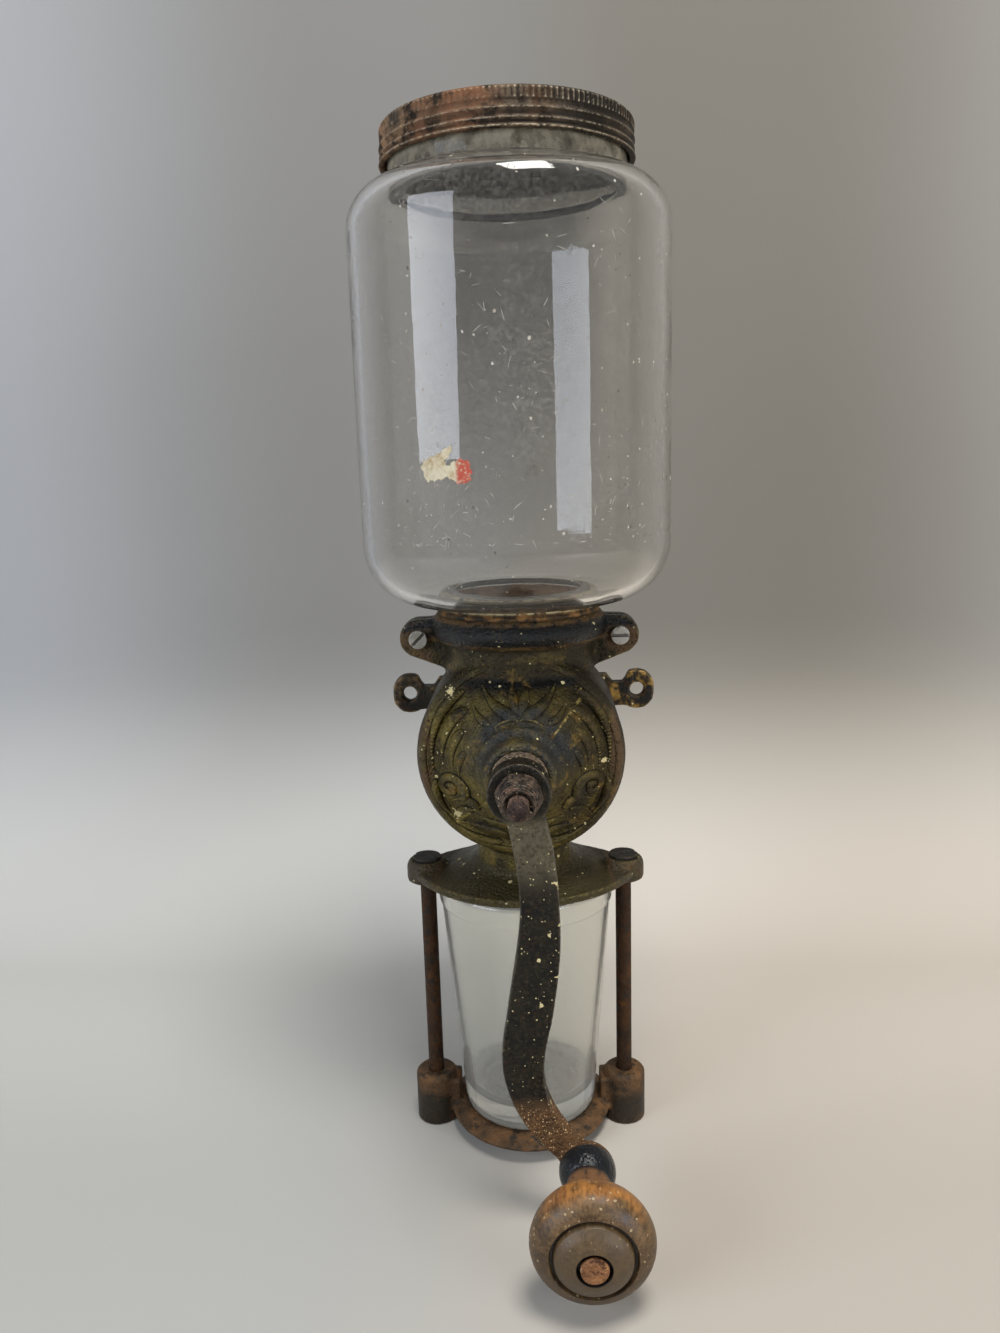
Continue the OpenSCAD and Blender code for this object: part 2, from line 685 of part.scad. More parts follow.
hopper_jar();
jar_lid();
lid_liner();
jar_ring();
front_casing();
collar_clamp();
clamp_screws();
back_bracket();
bracket_screws();
ring_burr();
ring_burr_screws();
cone_burr();
feed_worm();
drive_pin();
rear_bush();
main_shaft();
thrust_ring();
adjusting_sleeve();
crank_arm();
crank_nut();
knob_spindle();
knob();
left_rod();
right_rod();
rod_nuts();
cup_holder();
left_spring();
right_spring();
catch_cup();
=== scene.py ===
"""Wall mounted coffee mill: the looks of every piece, the studio and the camera."""
import math
from contextlib import contextmanager

import bmesh
import bpy
import numpy as np
from mathutils import Matrix, Vector


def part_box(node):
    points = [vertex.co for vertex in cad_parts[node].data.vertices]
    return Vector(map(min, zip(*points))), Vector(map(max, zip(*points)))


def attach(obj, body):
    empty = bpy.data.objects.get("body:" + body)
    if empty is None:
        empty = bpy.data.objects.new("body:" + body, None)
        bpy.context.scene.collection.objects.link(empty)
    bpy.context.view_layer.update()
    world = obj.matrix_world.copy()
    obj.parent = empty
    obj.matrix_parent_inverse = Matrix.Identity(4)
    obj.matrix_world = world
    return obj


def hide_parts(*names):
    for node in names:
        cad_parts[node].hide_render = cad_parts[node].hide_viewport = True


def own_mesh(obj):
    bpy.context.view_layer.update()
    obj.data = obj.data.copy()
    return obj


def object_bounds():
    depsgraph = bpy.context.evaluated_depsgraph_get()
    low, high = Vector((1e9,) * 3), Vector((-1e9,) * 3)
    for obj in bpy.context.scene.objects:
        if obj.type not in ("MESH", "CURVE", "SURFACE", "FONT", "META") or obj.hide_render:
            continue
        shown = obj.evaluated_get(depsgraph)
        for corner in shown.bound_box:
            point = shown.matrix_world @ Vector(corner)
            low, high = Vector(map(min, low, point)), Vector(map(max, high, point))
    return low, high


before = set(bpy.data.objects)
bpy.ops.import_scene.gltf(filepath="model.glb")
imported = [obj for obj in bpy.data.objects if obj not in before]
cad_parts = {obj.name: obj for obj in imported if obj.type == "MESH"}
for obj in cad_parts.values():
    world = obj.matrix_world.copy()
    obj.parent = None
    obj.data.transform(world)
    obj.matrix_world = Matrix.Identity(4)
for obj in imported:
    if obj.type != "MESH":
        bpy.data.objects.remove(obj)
CAD_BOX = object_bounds()

MM = 0.001
TAU = 2 * math.pi


def low_high(node):
    """Lowest and highest corner of a solid, in millimetres."""
    low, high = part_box(node)
    return np.array(low) / MM, np.array(high) / MM


def upright(node):
    """Foot, top and radius of a solid turned about an upright axis."""
    low, high = low_high(node)
    return low[2], high[2], (high[0] - low[0]) / 2


def lying(node):
    """Rear, front and radius of a solid turned about an axis towards the viewer; lengths count from the wall."""
    low, high = low_high(node)
    return -high[1], -low[1], (high[0] - low[0]) / 2


# Driving places, read from the frame in millimetres
JAR_LOW, JAR_HIGH = low_high("hopper_jar")
KNOB_LOW, KNOB_HIGH = low_high("knob")
NUT_LOW, NUT_HIGH = low_high("crank_nut")
RING_LOW, RING_HIGH = low_high("jar_ring")

AXIS_Y = (JAR_LOW[1] + JAR_HIGH[1]) / 2
JAR_R = (JAR_HIGH[0] - JAR_LOW[0]) / 2
SHAFT_Z = (NUT_LOW[2] + NUT_HIGH[2]) / 2
KNOB_X = (KNOB_LOW[0] + KNOB_HIGH[0]) / 2
KNOB_Z = (KNOB_LOW[2] + KNOB_HIGH[2]) / 2
JAR_AXIS, SHAFT_AXIS, KNOB_AXIS = (0, AXIS_Y), (0, SHAFT_Z), (KNOB_X, KNOB_Z)
FLOOR_Z = CAD_BOX[0][2] / MM
OUTLET_TO_NECK = 176
NECK_Z = JAR_LOW[2] + OUTLET_TO_NECK


def srgb(red, green, blue):
    """Linear colour of a screen colour given in 0 to 255."""
    parts = np.array([red, green, blue]) / 255
    linear = np.where(parts <= 0.04045, parts / 12.92, ((parts + 0.055) / 1.055) ** 2.4)
    return (*[float(v) for v in linear], 1.0)


# Shader helpers


def add(tree, kind, inputs=None, **settings):
    """New node with settings, and inputs that are values or sockets to link."""
    made = tree.nodes.new(kind)
    for name, value in settings.items():
        setattr(made, name, value)
    for name, value in (inputs or {}).items():
        if isinstance(value, bpy.types.NodeSocket):
            tree.links.new(value, made.inputs[name])
        else:
            made.inputs[name].default_value = value
    return made


def mixed(tree, mask, first, second):
    """Colour that goes from first to second with the mask."""
    made = add(tree, "ShaderNodeMix", {0: mask, 6: first, 7: second}, data_type="RGBA")
    return made.outputs[2]


def mixed_value(tree, mask, first, second):
    """Number that goes from first to second with the mask."""
    made = add(tree, "ShaderNodeMix", {0: mask, 2: first, 3: second}, data_type="FLOAT")
    return made.outputs[0]


def math_node(tree, operation, first, second=0.0):
    """Result of one arithmetic step."""
    return add(tree, "ShaderNodeMath", {0: first, 1: second}, operation=operation).outputs[0]


def times(tree, first, second):
    """Product of two numbers."""
    return math_node(tree, "MULTIPLY", first, second)


def larger(tree, first, second):
    """Larger of two numbers."""
    return math_node(tree, "MAXIMUM", first, second)


def window(tree, value, low, high):
    """0 below low, 1 above high, smooth between."""
    made = add(tree, "ShaderNodeMapRange", {"Value": value, "From Min": low, "From Max": high},
               interpolation_type="SMOOTHSTEP")
    return made.outputs["Result"]


def noise(tree, where, scale, detail, rough=0.5):
    """Fractal noise at a place, from about 0 to 1."""
    inputs = {"Vector": where, "Scale": scale, "Detail": detail, "Roughness": rough}
    return add(tree, "ShaderNodeTexNoise", inputs).outputs["Fac"]


def axes_of(tree, where):
    """Parts of a place along X, Y and Z."""
    return add(tree, "ShaderNodeSeparateXYZ", {"Vector": where}).outputs


def length_of(tree, **parts):
    """Length of a vector given by its X, Y and Z."""
    offset = add(tree, "ShaderNodeCombineXYZ", parts).outputs[0]
    return add(tree, "ShaderNodeVectorMath", {0: offset}, operation="LENGTH").outputs["Value"]


def seen_ray(tree):
    """1 on what the camera sees, also through glass."""
    path = add(tree, "ShaderNodeLightPath").outputs
    return larger(tree, path["Is Camera Ray"], path["Is Transmission Ray"])


def wire(tree, shader, **sockets):
    """Links results to a shader's sockets, an underscore standing for a space."""
    for socket, result in sockets.items():
        tree.links.new(result, shader.inputs[socket.replace("_", " ")])


def bumpy(tree, height, strength, distance):
    """Normal of a surface raised by a height."""
    inputs = {"Height": height, "Strength": strength, "Distance": distance}
    return add(tree, "ShaderNodeBump", inputs).outputs[0]


def new_group(name, inputs, outputs):
    """Empty shader node group with float inputs (name: default) after Vector, and named float outputs."""
    group = bpy.data.node_groups.new(name, "ShaderNodeTree")
    group.interface.new_socket("Vector", in_out="INPUT", socket_type="NodeSocketVector")
    for title, value in inputs.items():
        made = group.interface.new_socket(title, in_out="INPUT", socket_type="NodeSocketFloat")
        made.default_value = value
    for title in outputs:
        group.interface.new_socket(title, in_out="OUTPUT", socket_type="NodeSocketFloat")
    return group, group.nodes.new("NodeGroupInput").outputs, group.nodes.new("NodeGroupOutput").inputs


def make_patches():
    """Cloudy patches: fractal noise cut at a level that leaves Cover of the surface, with soft borders."""
    group, given, result = new_group("patches", {"Scale": 100.0, "Cover": 0.5, "Soft": 0.08, "Seed": 0.0}, ["Mask"])
    noise = add(group, "ShaderNodeTexNoise", {"Vector": given["Vector"], "W": given["Seed"], "Scale": given["Scale"],
                                              "Detail": 7.0, "Roughness": 0.62}, noise_dimensions="4D")
    level = add(group, "ShaderNodeMapRange", {"Value": given["Cover"], "To Min": 0.74, "To Max": 0.26})
    low = math_node(group, "SUBTRACT", level.outputs["Result"], given["Soft"])
    high = math_node(group, "ADD", level.outputs["Result"], given["Soft"])
    group.links.new(window(group, noise.outputs["Fac"], low, high), result["Mask"])
    return group


def make_specks():
    """Scattered round specks: cells whose centre is nearer than Size, kept where a cell's chance is under Cover."""
    group, given, result = new_group("specks", {"Scale": 300.0, "Size": 0.25, "Cover": 0.3}, ["Mask"])
    bend = add(group, "ShaderNodeTexNoise", {"Vector": given["Vector"], "Scale": 900.0, "Detail": 2.0})
    shift = add(group, "ShaderNodeVectorMath", {0: bend.outputs["Color"], 1: (0.0012, 0.0012, 0.0012)},
                operation="MULTIPLY")
    place = add(group, "ShaderNodeVectorMath", {0: given["Vector"], 1: shift.outputs[0]}, operation="ADD")
    cells = add(group, "ShaderNodeTexVoronoi", {"Vector": place.outputs[0], "Scale": given["Scale"]})
    parts = add(group, "ShaderNodeSeparateColor", {"Color": cells.outputs["Color"]})
    reach = times(group, given["Size"], parts.outputs["Green"])
    inside = math_node(group, "LESS_THAN", cells.outputs["Distance"], reach)
    kept = math_node(group, "LESS_THAN", parts.outputs["Red"], given["Cover"])
    group.links.new(times(group, inside, kept), result["Mask"])
    return group


def make_pitting():
    """Uneven cast surface: fine grain, wider swells and small pits, as a height from about 0 to 1."""
    group, given, result = new_group("pitting", {"Scale": 500.0, "Pits": 0.5}, ["Height"])
    fine = noise(group, given["Vector"], given["Scale"], 6.0, 0.65)
    wide = noise(group, given["Vector"], times(group, given["Scale"], 0.22), 3.0)
    cells = add(group, "ShaderNodeTexVoronoi", {"Vector": given["Vector"], "Scale": given["Scale"]},
                feature="SMOOTH_F1")
    pit = times(group, window(group, cells.outputs["Distance"], 0.0, 0.45), given["Pits"])
    summed = math_node(group, "ADD", fine, times(group, wide, 1.2))
    group.links.new(math_node(group, "ADD", summed, pit), result["Height"])
    return group


def make_blot():
    """One ragged blot: distance from a place X, Y, Z (depth counts a quarter) bent by noise, under Reach; in metres."""
    group, given, result = new_group("blot", {"X": 0.0, "Y": 0.0, "Z": 0.0, "Reach": 0.001}, ["Mask"])
    along = axes_of(group, given["Vector"])
    across = math_node(group, "SUBTRACT", along["X"], given["X"])
    deep = times(group, math_node(group, "SUBTRACT", along["Y"], given["Y"]), 0.25)
    up = math_node(group, "SUBTRACT", along["Z"], given["Z"])
    far = length_of(group, X=across, Y=deep, Z=up)
    bend = noise(group, given["Vector"], 700.0, 3.0)
    ragged = times(group, far, math_node(group, "ADD", times(group, bend, 3.0), -0.5))
    inner = times(group, given["Reach"], 0.85)
    group.links.new(window(group, ragged, given["Reach"], inner), result["Mask"])
    return group


PATCHES = make_patches()
SPECKS = make_specks()
PITTING = make_pitting()
BLOT = make_blot()
GROUPS = {"patches": PATCHES, "specks": SPECKS, "blot": BLOT}


def from_group(tree, group, where, **values):
    """First output of a shared group placed in a material with its own values."""
    made = add(tree, "ShaderNodeGroup", node_tree=group)
    tree.links.new(where, made.inputs["Vector"])
    for name, value in values.items():
        made.inputs[name].default_value = value
    return made.outputs[0]


def patches(tree, where, scale, cover, soft, seed):
    """Mask of cloudy patches."""
    return from_group(tree, PATCHES, where, Scale=scale, Cover=cover, Soft=soft, Seed=seed)


def specks(tree, where, scale, size, cover):
    """Mask of scattered specks."""
    return from_group(tree, SPECKS, where, Scale=scale, Size=size, Cover=cover)


def new_material(name, **sockets):
    """Material with its tree, its Principled shader (plain values set on sockets) and Object coordinates."""
    made = bpy.data.materials.new(name)
    made.use_nodes = True
    tree = made.node_tree
    shader = tree.nodes["Principled BSDF"]
    for socket, value in sockets.items():
        shader.inputs[socket.replace("_", " ")].default_value = value
    return made, tree, shader, add(tree, "ShaderNodeTexCoord").outputs["Object"]


# Pointiness between which a hollow gets dirt and painted shade, and a raised edge is rubbed bare and painted lighter as
# a highlight
HOLLOWS, EDGES = (0.5, 0.462), (0.515, 0.56)


def worn(name, tones, layers, rough, metallic=0.0, bump=0.25, grain=600.0, pits=0.5, edge=None, dirt_and_shade=None):
    """Aged surface in screen colours. tones: two colours that clouds mix. layers: (kind, colour, roughness, values,
    zones) painted in turn, where kind is patches, specks or blot and each zone (axis, from, to) fades the layer in
    along an axis, in millimetres. The last two: (colour, amount) on raised edges, as wear and a painted highlight,
    and in hollows, as dirt and painted shade."""
    made, tree, shader, where = new_material(name, Metallic=metallic, Specular_IOR_Level=0.3)
    cloudy = patches(tree, where, grain * 0.14, 0.5, 0.16, 3.0)
    colour = mixed(tree, cloudy, srgb(*tones[0]), srgb(*tones[1]))
    fine = patches(tree, where, grain * 0.9, 0.5, 0.2, 9.0)
    roughness = mixed_value(tree, fine, rough[0], rough[1])
    point = add(tree, "ShaderNodeNewGeometry").outputs["Pointiness"]
    # Hollows: dirt, and painted shade
    if dirt_and_shade:
        hollow = times(tree, window(tree, point, *HOLLOWS), dirt_and_shade[1])
        colour = mixed(tree, hollow, colour, srgb(*dirt_and_shade[0]))
        roughness = mixed_value(tree, hollow, roughness, 0.8)
    along = axes_of(tree, where)
    for kind, paint, dull, values, *zones in layers:
        mask = from_group(tree, GROUPS[kind], where, **values)
        for axis, start, end in zones:
            mask = times(tree, mask, window(tree, along[axis], start * MM, end * MM))
        colour = mixed(tree, mask, colour, srgb(*paint))
        roughness = mixed_value(tree, mask, roughness, dull)
    # Raised edges: rubbed bare, and a painted highlight
    if edge:
        ragged = times(tree, window(tree, point, *EDGES), window(tree, fine, 0.1, 0.9))
        raised = times(tree, ragged, edge[1])
        colour = mixed(tree, raised, colour, srgb(*edge[0]))
        roughness = mixed_value(tree, raised, roughness, 0.38)
    height = from_group(tree, PITTING, where, Scale=grain, Pits=pits)
    wire(tree, shader, Base_Color=colour, Roughness=roughness, Normal=bumpy(tree, height, bump, 0.0006))
    return made


CREAM = (208, 194, 146)
RUST_DARK = (58, 38, 22)


def paint_specks(cover, scale, size):
    """Cream paint spatter, as a layer."""
    return ("specks", CREAM, 0.6, {"Scale": scale, "Size": size, "Cover": cover})


def paint_blots(places, depth, *zones):
    """Larger cream flakes, as layers: each place is x, z and reach in millimetres, at one depth."""
    return [("blot", CREAM, 0.6, {"X": x * MM, "Y": depth * MM, "Z": z * MM, "Reach": reach * MM}, *zones)
            for x, z, reach in places]


def clouds(colour, rough, scale, cover, soft, seed, *zones):
    """Patches of one colour, as a layer."""
    return ("patches", colour, rough, {"Scale": scale, "Cover": cover, "Soft": soft, "Seed": seed}, *zones)


# Larger paint flakes on the casing and the crank arm: x, z and reach in millimetres
DRUM_FLAKES = [(-26.5, -30, 1.5), (34, -8, 1.2), (28.5, -9.5, 0.8), (-28, 21.5, 1.4), (18, 16, 0.8), (27, -44, 0.9),
               (-8, 24, 0.7), (-35, -14, 0.7), (20, -50, 0.9), (19, -54.5, 1.4), (-20, -61, 0.8), (30, -62, 0.7)]
ARM_FLAKES = [(14.5, -43, 1.4), (12.5, -106, 2.0), (10.5, -109, 1.0), (10, -63, 0.8), (13.5, -80, 0.8), (6, -73, 0.7),
              (6.5, -92, 0.9), (14, -59, 0.6), (17, -125, 1.0), (9, -118, 0.7)]


def casing_iron(name, edge_amount):
    """Olive patina of the casing: black collar with brown edges and ears, a painted blue-grey highlight on the hub's
    upper half, a painted shadow under the neck's lip, dark drum side, golden and rusty patches, paint specks."""
    layers = [
        clouds((36, 32, 20), 0.45, 70.0, 0.36, 0.1, 1.0),
        clouds((44, 36, 18), 0.5, 60.0, 0.62, 0.16, 8.0, (0, 4.0, 30.0)),
        clouds((40, 33, 16), 0.5, 80.0, 0.7, 0.16, 12.0, (2, 16.0, 24.0)),
        clouds((25, 26, 26), 0.12, 40.0, 0.88, 0.16, 2.0, (2, 37.5, 40.5)),
        clouds((58, 51, 27), 0.38, 45.0, 0.78, 0.16, 3.0, (2, -55.0, -60.0)),
        clouds((90, 68, 40), 0.6, 200.0, 0.6, 0.1, 20.0, (2, 47.4, 48.8)),
        clouds((86, 66, 36), 0.6, 200.0, 0.56, 0.1, 21.0, (2, 37.6, 38.8), (2, 41.0, 39.8)),
        *[clouds((84, 65, 43), 0.55, 130.0, 0.56, 0.1, 22.0, (0, side * 35.5, side * 38.0), (2, 44.5, 42.0))
          for side in (1, -1)],
        # Painted shadow: a near black band on the drum face under the neck's lip
        clouds((11, 9, 5), 0.5, 70.0, 0.92, 0.14, 23.0, (2, 21.5, 24.0), (2, 28.0, 25.5), (0, -27.0, -20.0),
               (0, 27.0, 20.0)),
        *[clouds((62, 55, 42), 0.4, 90.0, 0.55, 0.12, 9.0, (2, -55.0, -60.0), (0, side * 37.0, side * 40.0))
          for side in (1, -1)],
        # Painted highlight: blue-grey sheen on the upper half of the hub's front
        clouds((40, 42, 42), 0.34, 60.0, 0.68, 0.16, 4.0, (1, -104.0, -111.0), (2, -16.0, 2.0)),
        clouds((116, 92, 42), 0.55, 130.0, 0.22, 0.08, 6.0, (2, 37.0, 33.0), (2, -62.0, -54.0)),
        clouds(RUST_DARK, 0.75, 230.0, 0.2, 0.06, 5.0),
        clouds((21, 21, 20), 0.3, 50.0, 0.9, 0.15, 7.0, (1, -94.5, -91.0), (2, 24.0, 14.0), (2, -52.0, -46.0)),
        clouds((16, 13, 7), 0.5, 800.0, 0.24, 0.06, 16.0),
        clouds((142, 124, 68), 0.35, 900.0, 0.13, 0.06, 15.0),
        paint_specks(0.02, 380.0, 0.36), paint_specks(0.03, 900.0, 0.4), *paint_blots(DRUM_FLAKES, -97.0)]
    return worn(name, ((106, 93, 44), (60, 51, 22)), layers, (0.22, 0.5), 0.25, 1.1, 700.0, 0.7,
                ((168, 148, 84), edge_amount), ((12, 9, 4), 1.0))


CASING_IRON = casing_iron("olive_patina_iron", 0.25)
DRUM_IRON = casing_iron("olive_relief_iron", 0.85)
BRACKET_IRON = worn(
    "worn_bracket_iron", ((52, 47, 34), (36, 34, 28)),
    [clouds((156, 122, 58), 0.45, 150.0, 0.46, 0.06, 1.4, (1, -20.0, -4.0), (0, 0.0, 10.0)),
     clouds((118, 94, 66), 0.5, 150.0, 0.44, 0.06, 1.4, (1, -20.0, -4.0), (0, 0.0, -10.0)),
     clouds((24, 23, 19), 0.4, 120.0, 0.5, 0.08, 9.0, (1, -20.0, -4.0)),
     clouds(RUST_DARK, 0.75, 190.0, 0.32, 0.06, 5.0), paint_specks(0.06, 420.0, 0.36)],
    (0.36, 0.6), 0.25, 0.5, 520.0, 0.6, ((150, 124, 72), 0.7), ((18, 14, 9), 0.85))
# Where the arm's end rusts: low down and behind the ball's front
ARM_END = ((2, -130.0, -141.0), (1, -143.5, -141.5))
BLACK_IRON = worn(
    "worn_black_iron", ((26, 24, 18), (37, 34, 26)),
    [clouds((18, 18, 18), 0.26, 120.0, 0.42, 0.12, 1.0),
     clouds((100, 93, 74), 0.5, 70.0, 0.7, 0.18, 11.0, (2, -50.0, -30.0), (2, -13.0, -20.0), (1, -138.0, -140.0)),
     clouds((54, 47, 34), 0.6, 700.0, 0.32, 0.1, 6.0),
     clouds(RUST_DARK, 0.7, 300.0, 0.22, 0.08, 2.0),
     clouds((112, 82, 52), 0.85, 200.0, 0.78, 0.16, 4.0, *ARM_END),
     clouds((60, 42, 26), 0.85, 1500.0, 0.46, 0.1, 5.0, *ARM_END),
     ("specks", (216, 178, 132), 0.4, {"Scale": 1250.0, "Size": 0.5, "Cover": 0.3}, *ARM_END),
     paint_specks(0.04, 420.0, 0.32), paint_specks(0.06, 1000.0, 0.42),
     *paint_blots(ARM_FLAKES, -141.0, (1, -138.5, -140.0)),
     clouds((34, 35, 38), 0.16, 30.0, 0.95, 0.2, 8.0, (1, -142.0, -143.5), (2, -146.0, -149.0)),
     clouds((122, 88, 58), 0.8, 300.0, 0.72, 0.12, 7.0, (1, -151.0, -154.5))],
    (0.2, 0.44), 0.3, 0.45, 620.0, 0.7, ((112, 100, 82), 0.7), ((12, 10, 8), 0.8))
RUSTED_IRON = worn(
    "rusted_iron", ((92, 68, 44), (66, 50, 33)),
    [clouds((112, 80, 50), 0.85, 110.0, 0.4, 0.1, 4.0),
     clouds((42, 34, 24), 0.5, 190.0, 0.38, 0.07, 7.0),
     clouds((138, 102, 66), 0.9, 640.0, 0.16, 0.06, 8.0),
     *[clouds((40, 34, 24), 0.42, 60.0, 0.74, 0.14, seed, (2, -172.0, -180.0), (0, side * 36.0, side * 39.0))
       for side, seed in ((1, 9.0), (-1, 9.5))]],
    (0.55, 0.88), 0.1, 0.6, 800.0, 0.8, ((140, 112, 80), 0.5), ((26, 18, 11), 0.75))
ROD_IRON = worn(
    "rusted_rod_iron", ((66, 41, 18), (41, 26, 12)),
    [clouds((86, 54, 25), 0.85, 120.0, 0.3, 0.1, 4.0),
     clouds((36, 28, 20), 0.5, 260.0, 0.36, 0.07, 7.0),
     clouds((34, 32, 27), 0.42, 60.0, 0.85, 0.16, 9.0, (2, -66.0, -63.0))],
    (0.5, 0.85), 0.1, 0.55, 900.0, 0.7, ((124, 98, 68), 0.4), ((22, 15, 9), 0.7))
RUSTED_SHEET = worn(
    "rusted_sheet", ((72, 54, 30), (40, 31, 19)),
    [clouds((128, 92, 48), 0.85, 130.0, 0.3, 0.09, 4.0),
     clouds((20, 17, 12), 0.5, 150.0, 0.45, 0.07, 7.0),
     clouds((136, 100, 58), 0.8, 210.0, 0.4, 0.08, 9.0, (2, RING_HIGH[2] - 4.5, RING_HIGH[2] - 3.0)),
     clouds((222, 206, 160), 0.7, 300.0, 0.54, 0.05, 8.0, (2, RING_HIGH[2] - 1.9, RING_HIGH[2] - 0.6))],
    (0.45, 0.8), 0.1, 0.6, 800.0, 0.7, ((190, 164, 114), 0.7), ((18, 13, 8), 0.8))
RUSTED_TIN = worn(
    "rusted_tin", ((106, 92, 74), (68, 57, 44)),
    [clouds((128, 90, 64), 0.85, 36.0, 0.56, 0.12, 2.5, (0, 4.0, -10.0)),
     clouds((158, 124, 92), 0.8, 90.0, 0.5, 0.12, 4.5, (0, -26.0, -44.0)),
     clouds((80, 56, 38), 0.85, 60.0, 0.3, 0.08, 3.5),
     clouds((40, 31, 22), 0.75, 130.0, 0.4, 0.07, 5.5),
     clouds((150, 112, 80), 0.88, 480.0, 0.14, 0.05, 1.5, (0, 8.0, -6.0)),
     clouds((36, 30, 21), 0.42, 40.0, 0.85, 0.14, 6.5, (0, 8.0, 30.0))],
    (0.36, 0.75), 0.35, 0.6, 800.0, 0.6, ((188, 172, 146), 0.75), ((22, 17, 12), 0.9))
BARE_STEEL = worn(
    "worn_screw_steel", ((176, 173, 164), (140, 135, 124)),
    [clouds((78, 64, 46), 0.7, 420.0, 0.3, 0.07, 3.5)],
    (0.35, 0.55), 0.5, 0.25, 900.0, 0.5, ((200, 197, 188), 0.5), ((30, 24, 17), 0.85))
DARK_STEEL = worn(
    "oiled_dark_steel", ((84, 71, 58), (50, 42, 36)),
    [clouds((92, 68, 56), 0.6, 300.0, 0.34, 0.07, 6.5), clouds((20, 17, 16), 0.35, 420.0, 0.44, 0.08, 7.5),
     clouds((150, 128, 98), 0.35, 900.0, 0.16, 0.05, 8.5)],
    (0.26, 0.5), 0.4, 0.9, 900.0, 0.8, ((176, 156, 128), 0.9), ((12, 9, 8), 1.0))
SHAFT_STEEL = worn(
    "rusted_shaft_end", ((84, 64, 53), (50, 38, 33)),
    [clouds((38, 28, 25), 0.5, 380.0, 0.42, 0.07, 7.5), clouds((150, 120, 98), 0.35, 700.0, 0.18, 0.05, 8.5)],
    (0.22, 0.5), 0.4, 0.8, 900.0, 0.7, ((170, 142, 120), 0.5), ((16, 11, 9), 1.0))
RUSTED_COPPER = worn(
    "rusted_rivet", ((160, 112, 74), (112, 76, 48)),
    [clouds((72, 46, 30), 0.7, 380.0, 0.36, 0.07, 7.5), clouds((206, 166, 124), 0.5, 520.0, 0.2, 0.06, 8.5)],
    (0.3, 0.6), 0.35, 0.7, 700.0, 0.7, ((214, 174, 132), 0.5), ((30, 19, 13), 0.85))
OLD_GROUNDS = worn("old_grounds", ((186, 134, 70), (120, 82, 40)), [], (0.8, 0.95), 0.0, 0.6, 900.0, 0.6)
BURR_IRON = worn("ground_burr_iron", ((84, 82, 80), (66, 64, 62)), [], (0.4, 0.6), 0.6, 0.3, 800.0, 0.4)
BUSH_BRASS = worn("dull_brass", ((150, 118, 62), (122, 96, 52)), [], (0.35, 0.55), 0.8, 0.2, 800.0, 0.3)
LINER_CARD = worn("dirty_card", ((72, 64, 54), (56, 49, 42)), [], (0.8, 0.95), 0.0, 0.3, 1500.0, 0.2)
GLASS_DUST = worn("dust_on_glass", ((196, 192, 184), (150, 142, 130)), [], (0.8, 0.95), 0.0, 0.1, 900.0, 0.2)


def make_wood():
    """Turned wood: fibres along the knob's axis, orange back, grey worn front, and painted shade on the underside, in
    the groove at a set radius and in the rivet's hole.
    """
    made, tree, shader, where = new_material("aged_knob_wood")
    place = add(tree, "ShaderNodeMapping", {"Vector": where, "Location": (-KNOB_X * MM, 0, -KNOB_Z * MM)})
    stretch = add(tree, "ShaderNodeMapping", {"Vector": place.outputs[0], "Scale": (1.0, 0.14, 1.0)})
    fibres = noise(tree, stretch.outputs[0], 900.0, 6.0, 0.7)
    broad = noise(tree, stretch.outputs[0], 170.0, 4.0)
    grain = window(tree, mixed_value(tree, 0.4, fibres, broad), 0.36, 0.64)
    warm = mixed(tree, grain, srgb(92, 55, 22), srgb(172, 116, 54))
    grey = mixed(tree, grain, srgb(60, 43, 24), srgb(110, 84, 50))
    parts = axes_of(tree, place.outputs[0])
    front = math_node(tree, "ADD", parts["Y"], times(tree, noise(tree, where, 110.0, 6.0), -0.012))
    belly = KNOB_LOW[1] * MM + 0.0105
    topside = window(tree, parts["Z"], 0.0205, 0.0095)
    faded = larger(tree, window(tree, front, belly - 0.004, belly - 0.0095), topside)
    colour = mixed(tree, faded, warm, grey)
    # Painted shade: darker towards the bottom of the knob, below its middle
    underside = times(tree, window(tree, parts["Z"], 0.006, -0.014), 0.5)
    colour = mixed(tree, underside, colour, srgb(46, 35, 22))
    grime = patches(tree, where, 150.0, 0.36, 0.1, 4.4)
    colour = mixed(tree, times(tree, grime, 0.6), colour, srgb(52, 37, 22))
    flecks = specks(tree, where, 800.0, 0.42, 0.16)
    colour = mixed(tree, times(tree, flecks, 0.6), colour, srgb(186, 164, 124))
    reach = length_of(tree, X=parts["X"], Z=parts["Z"])
    # Front of the knob, in metres from its axis: rubbed disc, and painted shade in the groove round it and in the
    # rivet's hole
    ahead = window(tree, parts["Y"], belly, belly - 0.003)
    disc = times(tree, window(tree, reach, 0.0146, 0.0142), ahead)
    colour = mixed(tree, times(tree, disc, 0.55), colour, srgb(78, 64, 44))
    groove = times(tree, window(tree, reach, 0.0143, 0.0146), window(tree, reach, 0.0157, 0.0153))
    groove = times(tree, groove, ahead)
    hole = times(tree, window(tree, reach, 0.0068, 0.0063), ahead)
    # Painted shade: near black in the groove and the rivet's hole
    colour = mixed(tree, larger(tree, groove, hole), colour, srgb(27, 24, 20))
    wire(tree, shader, Base_Color=colour, Roughness=mixed_value(tree, grain, 0.36, 0.55),
         Normal=bumpy(tree, fibres, 0.35, 0.0004))
    return made


def make_glass(name, tint, rough, clear):
    """Old glass: slightly uneven surface, with dusty and greasy patches that are rougher."""
    made, tree, shader, where = new_material(name, Transmission_Weight=clear, IOR=1.48, Base_Color=tint)
    dust = patches(tree, where, 45.0, 0.4, 0.16, 1.1)
    smear = patches(tree, where, 420.0, 0.42, 0.12, 2.2)
    wire(tree, shader, Roughness=mixed_value(tree, times(tree, dust, smear), rough[0], rough[1]),
         Normal=bumpy(tree, noise(tree, where, 26.0, 3.0), 0.06, 0.004))
    return made


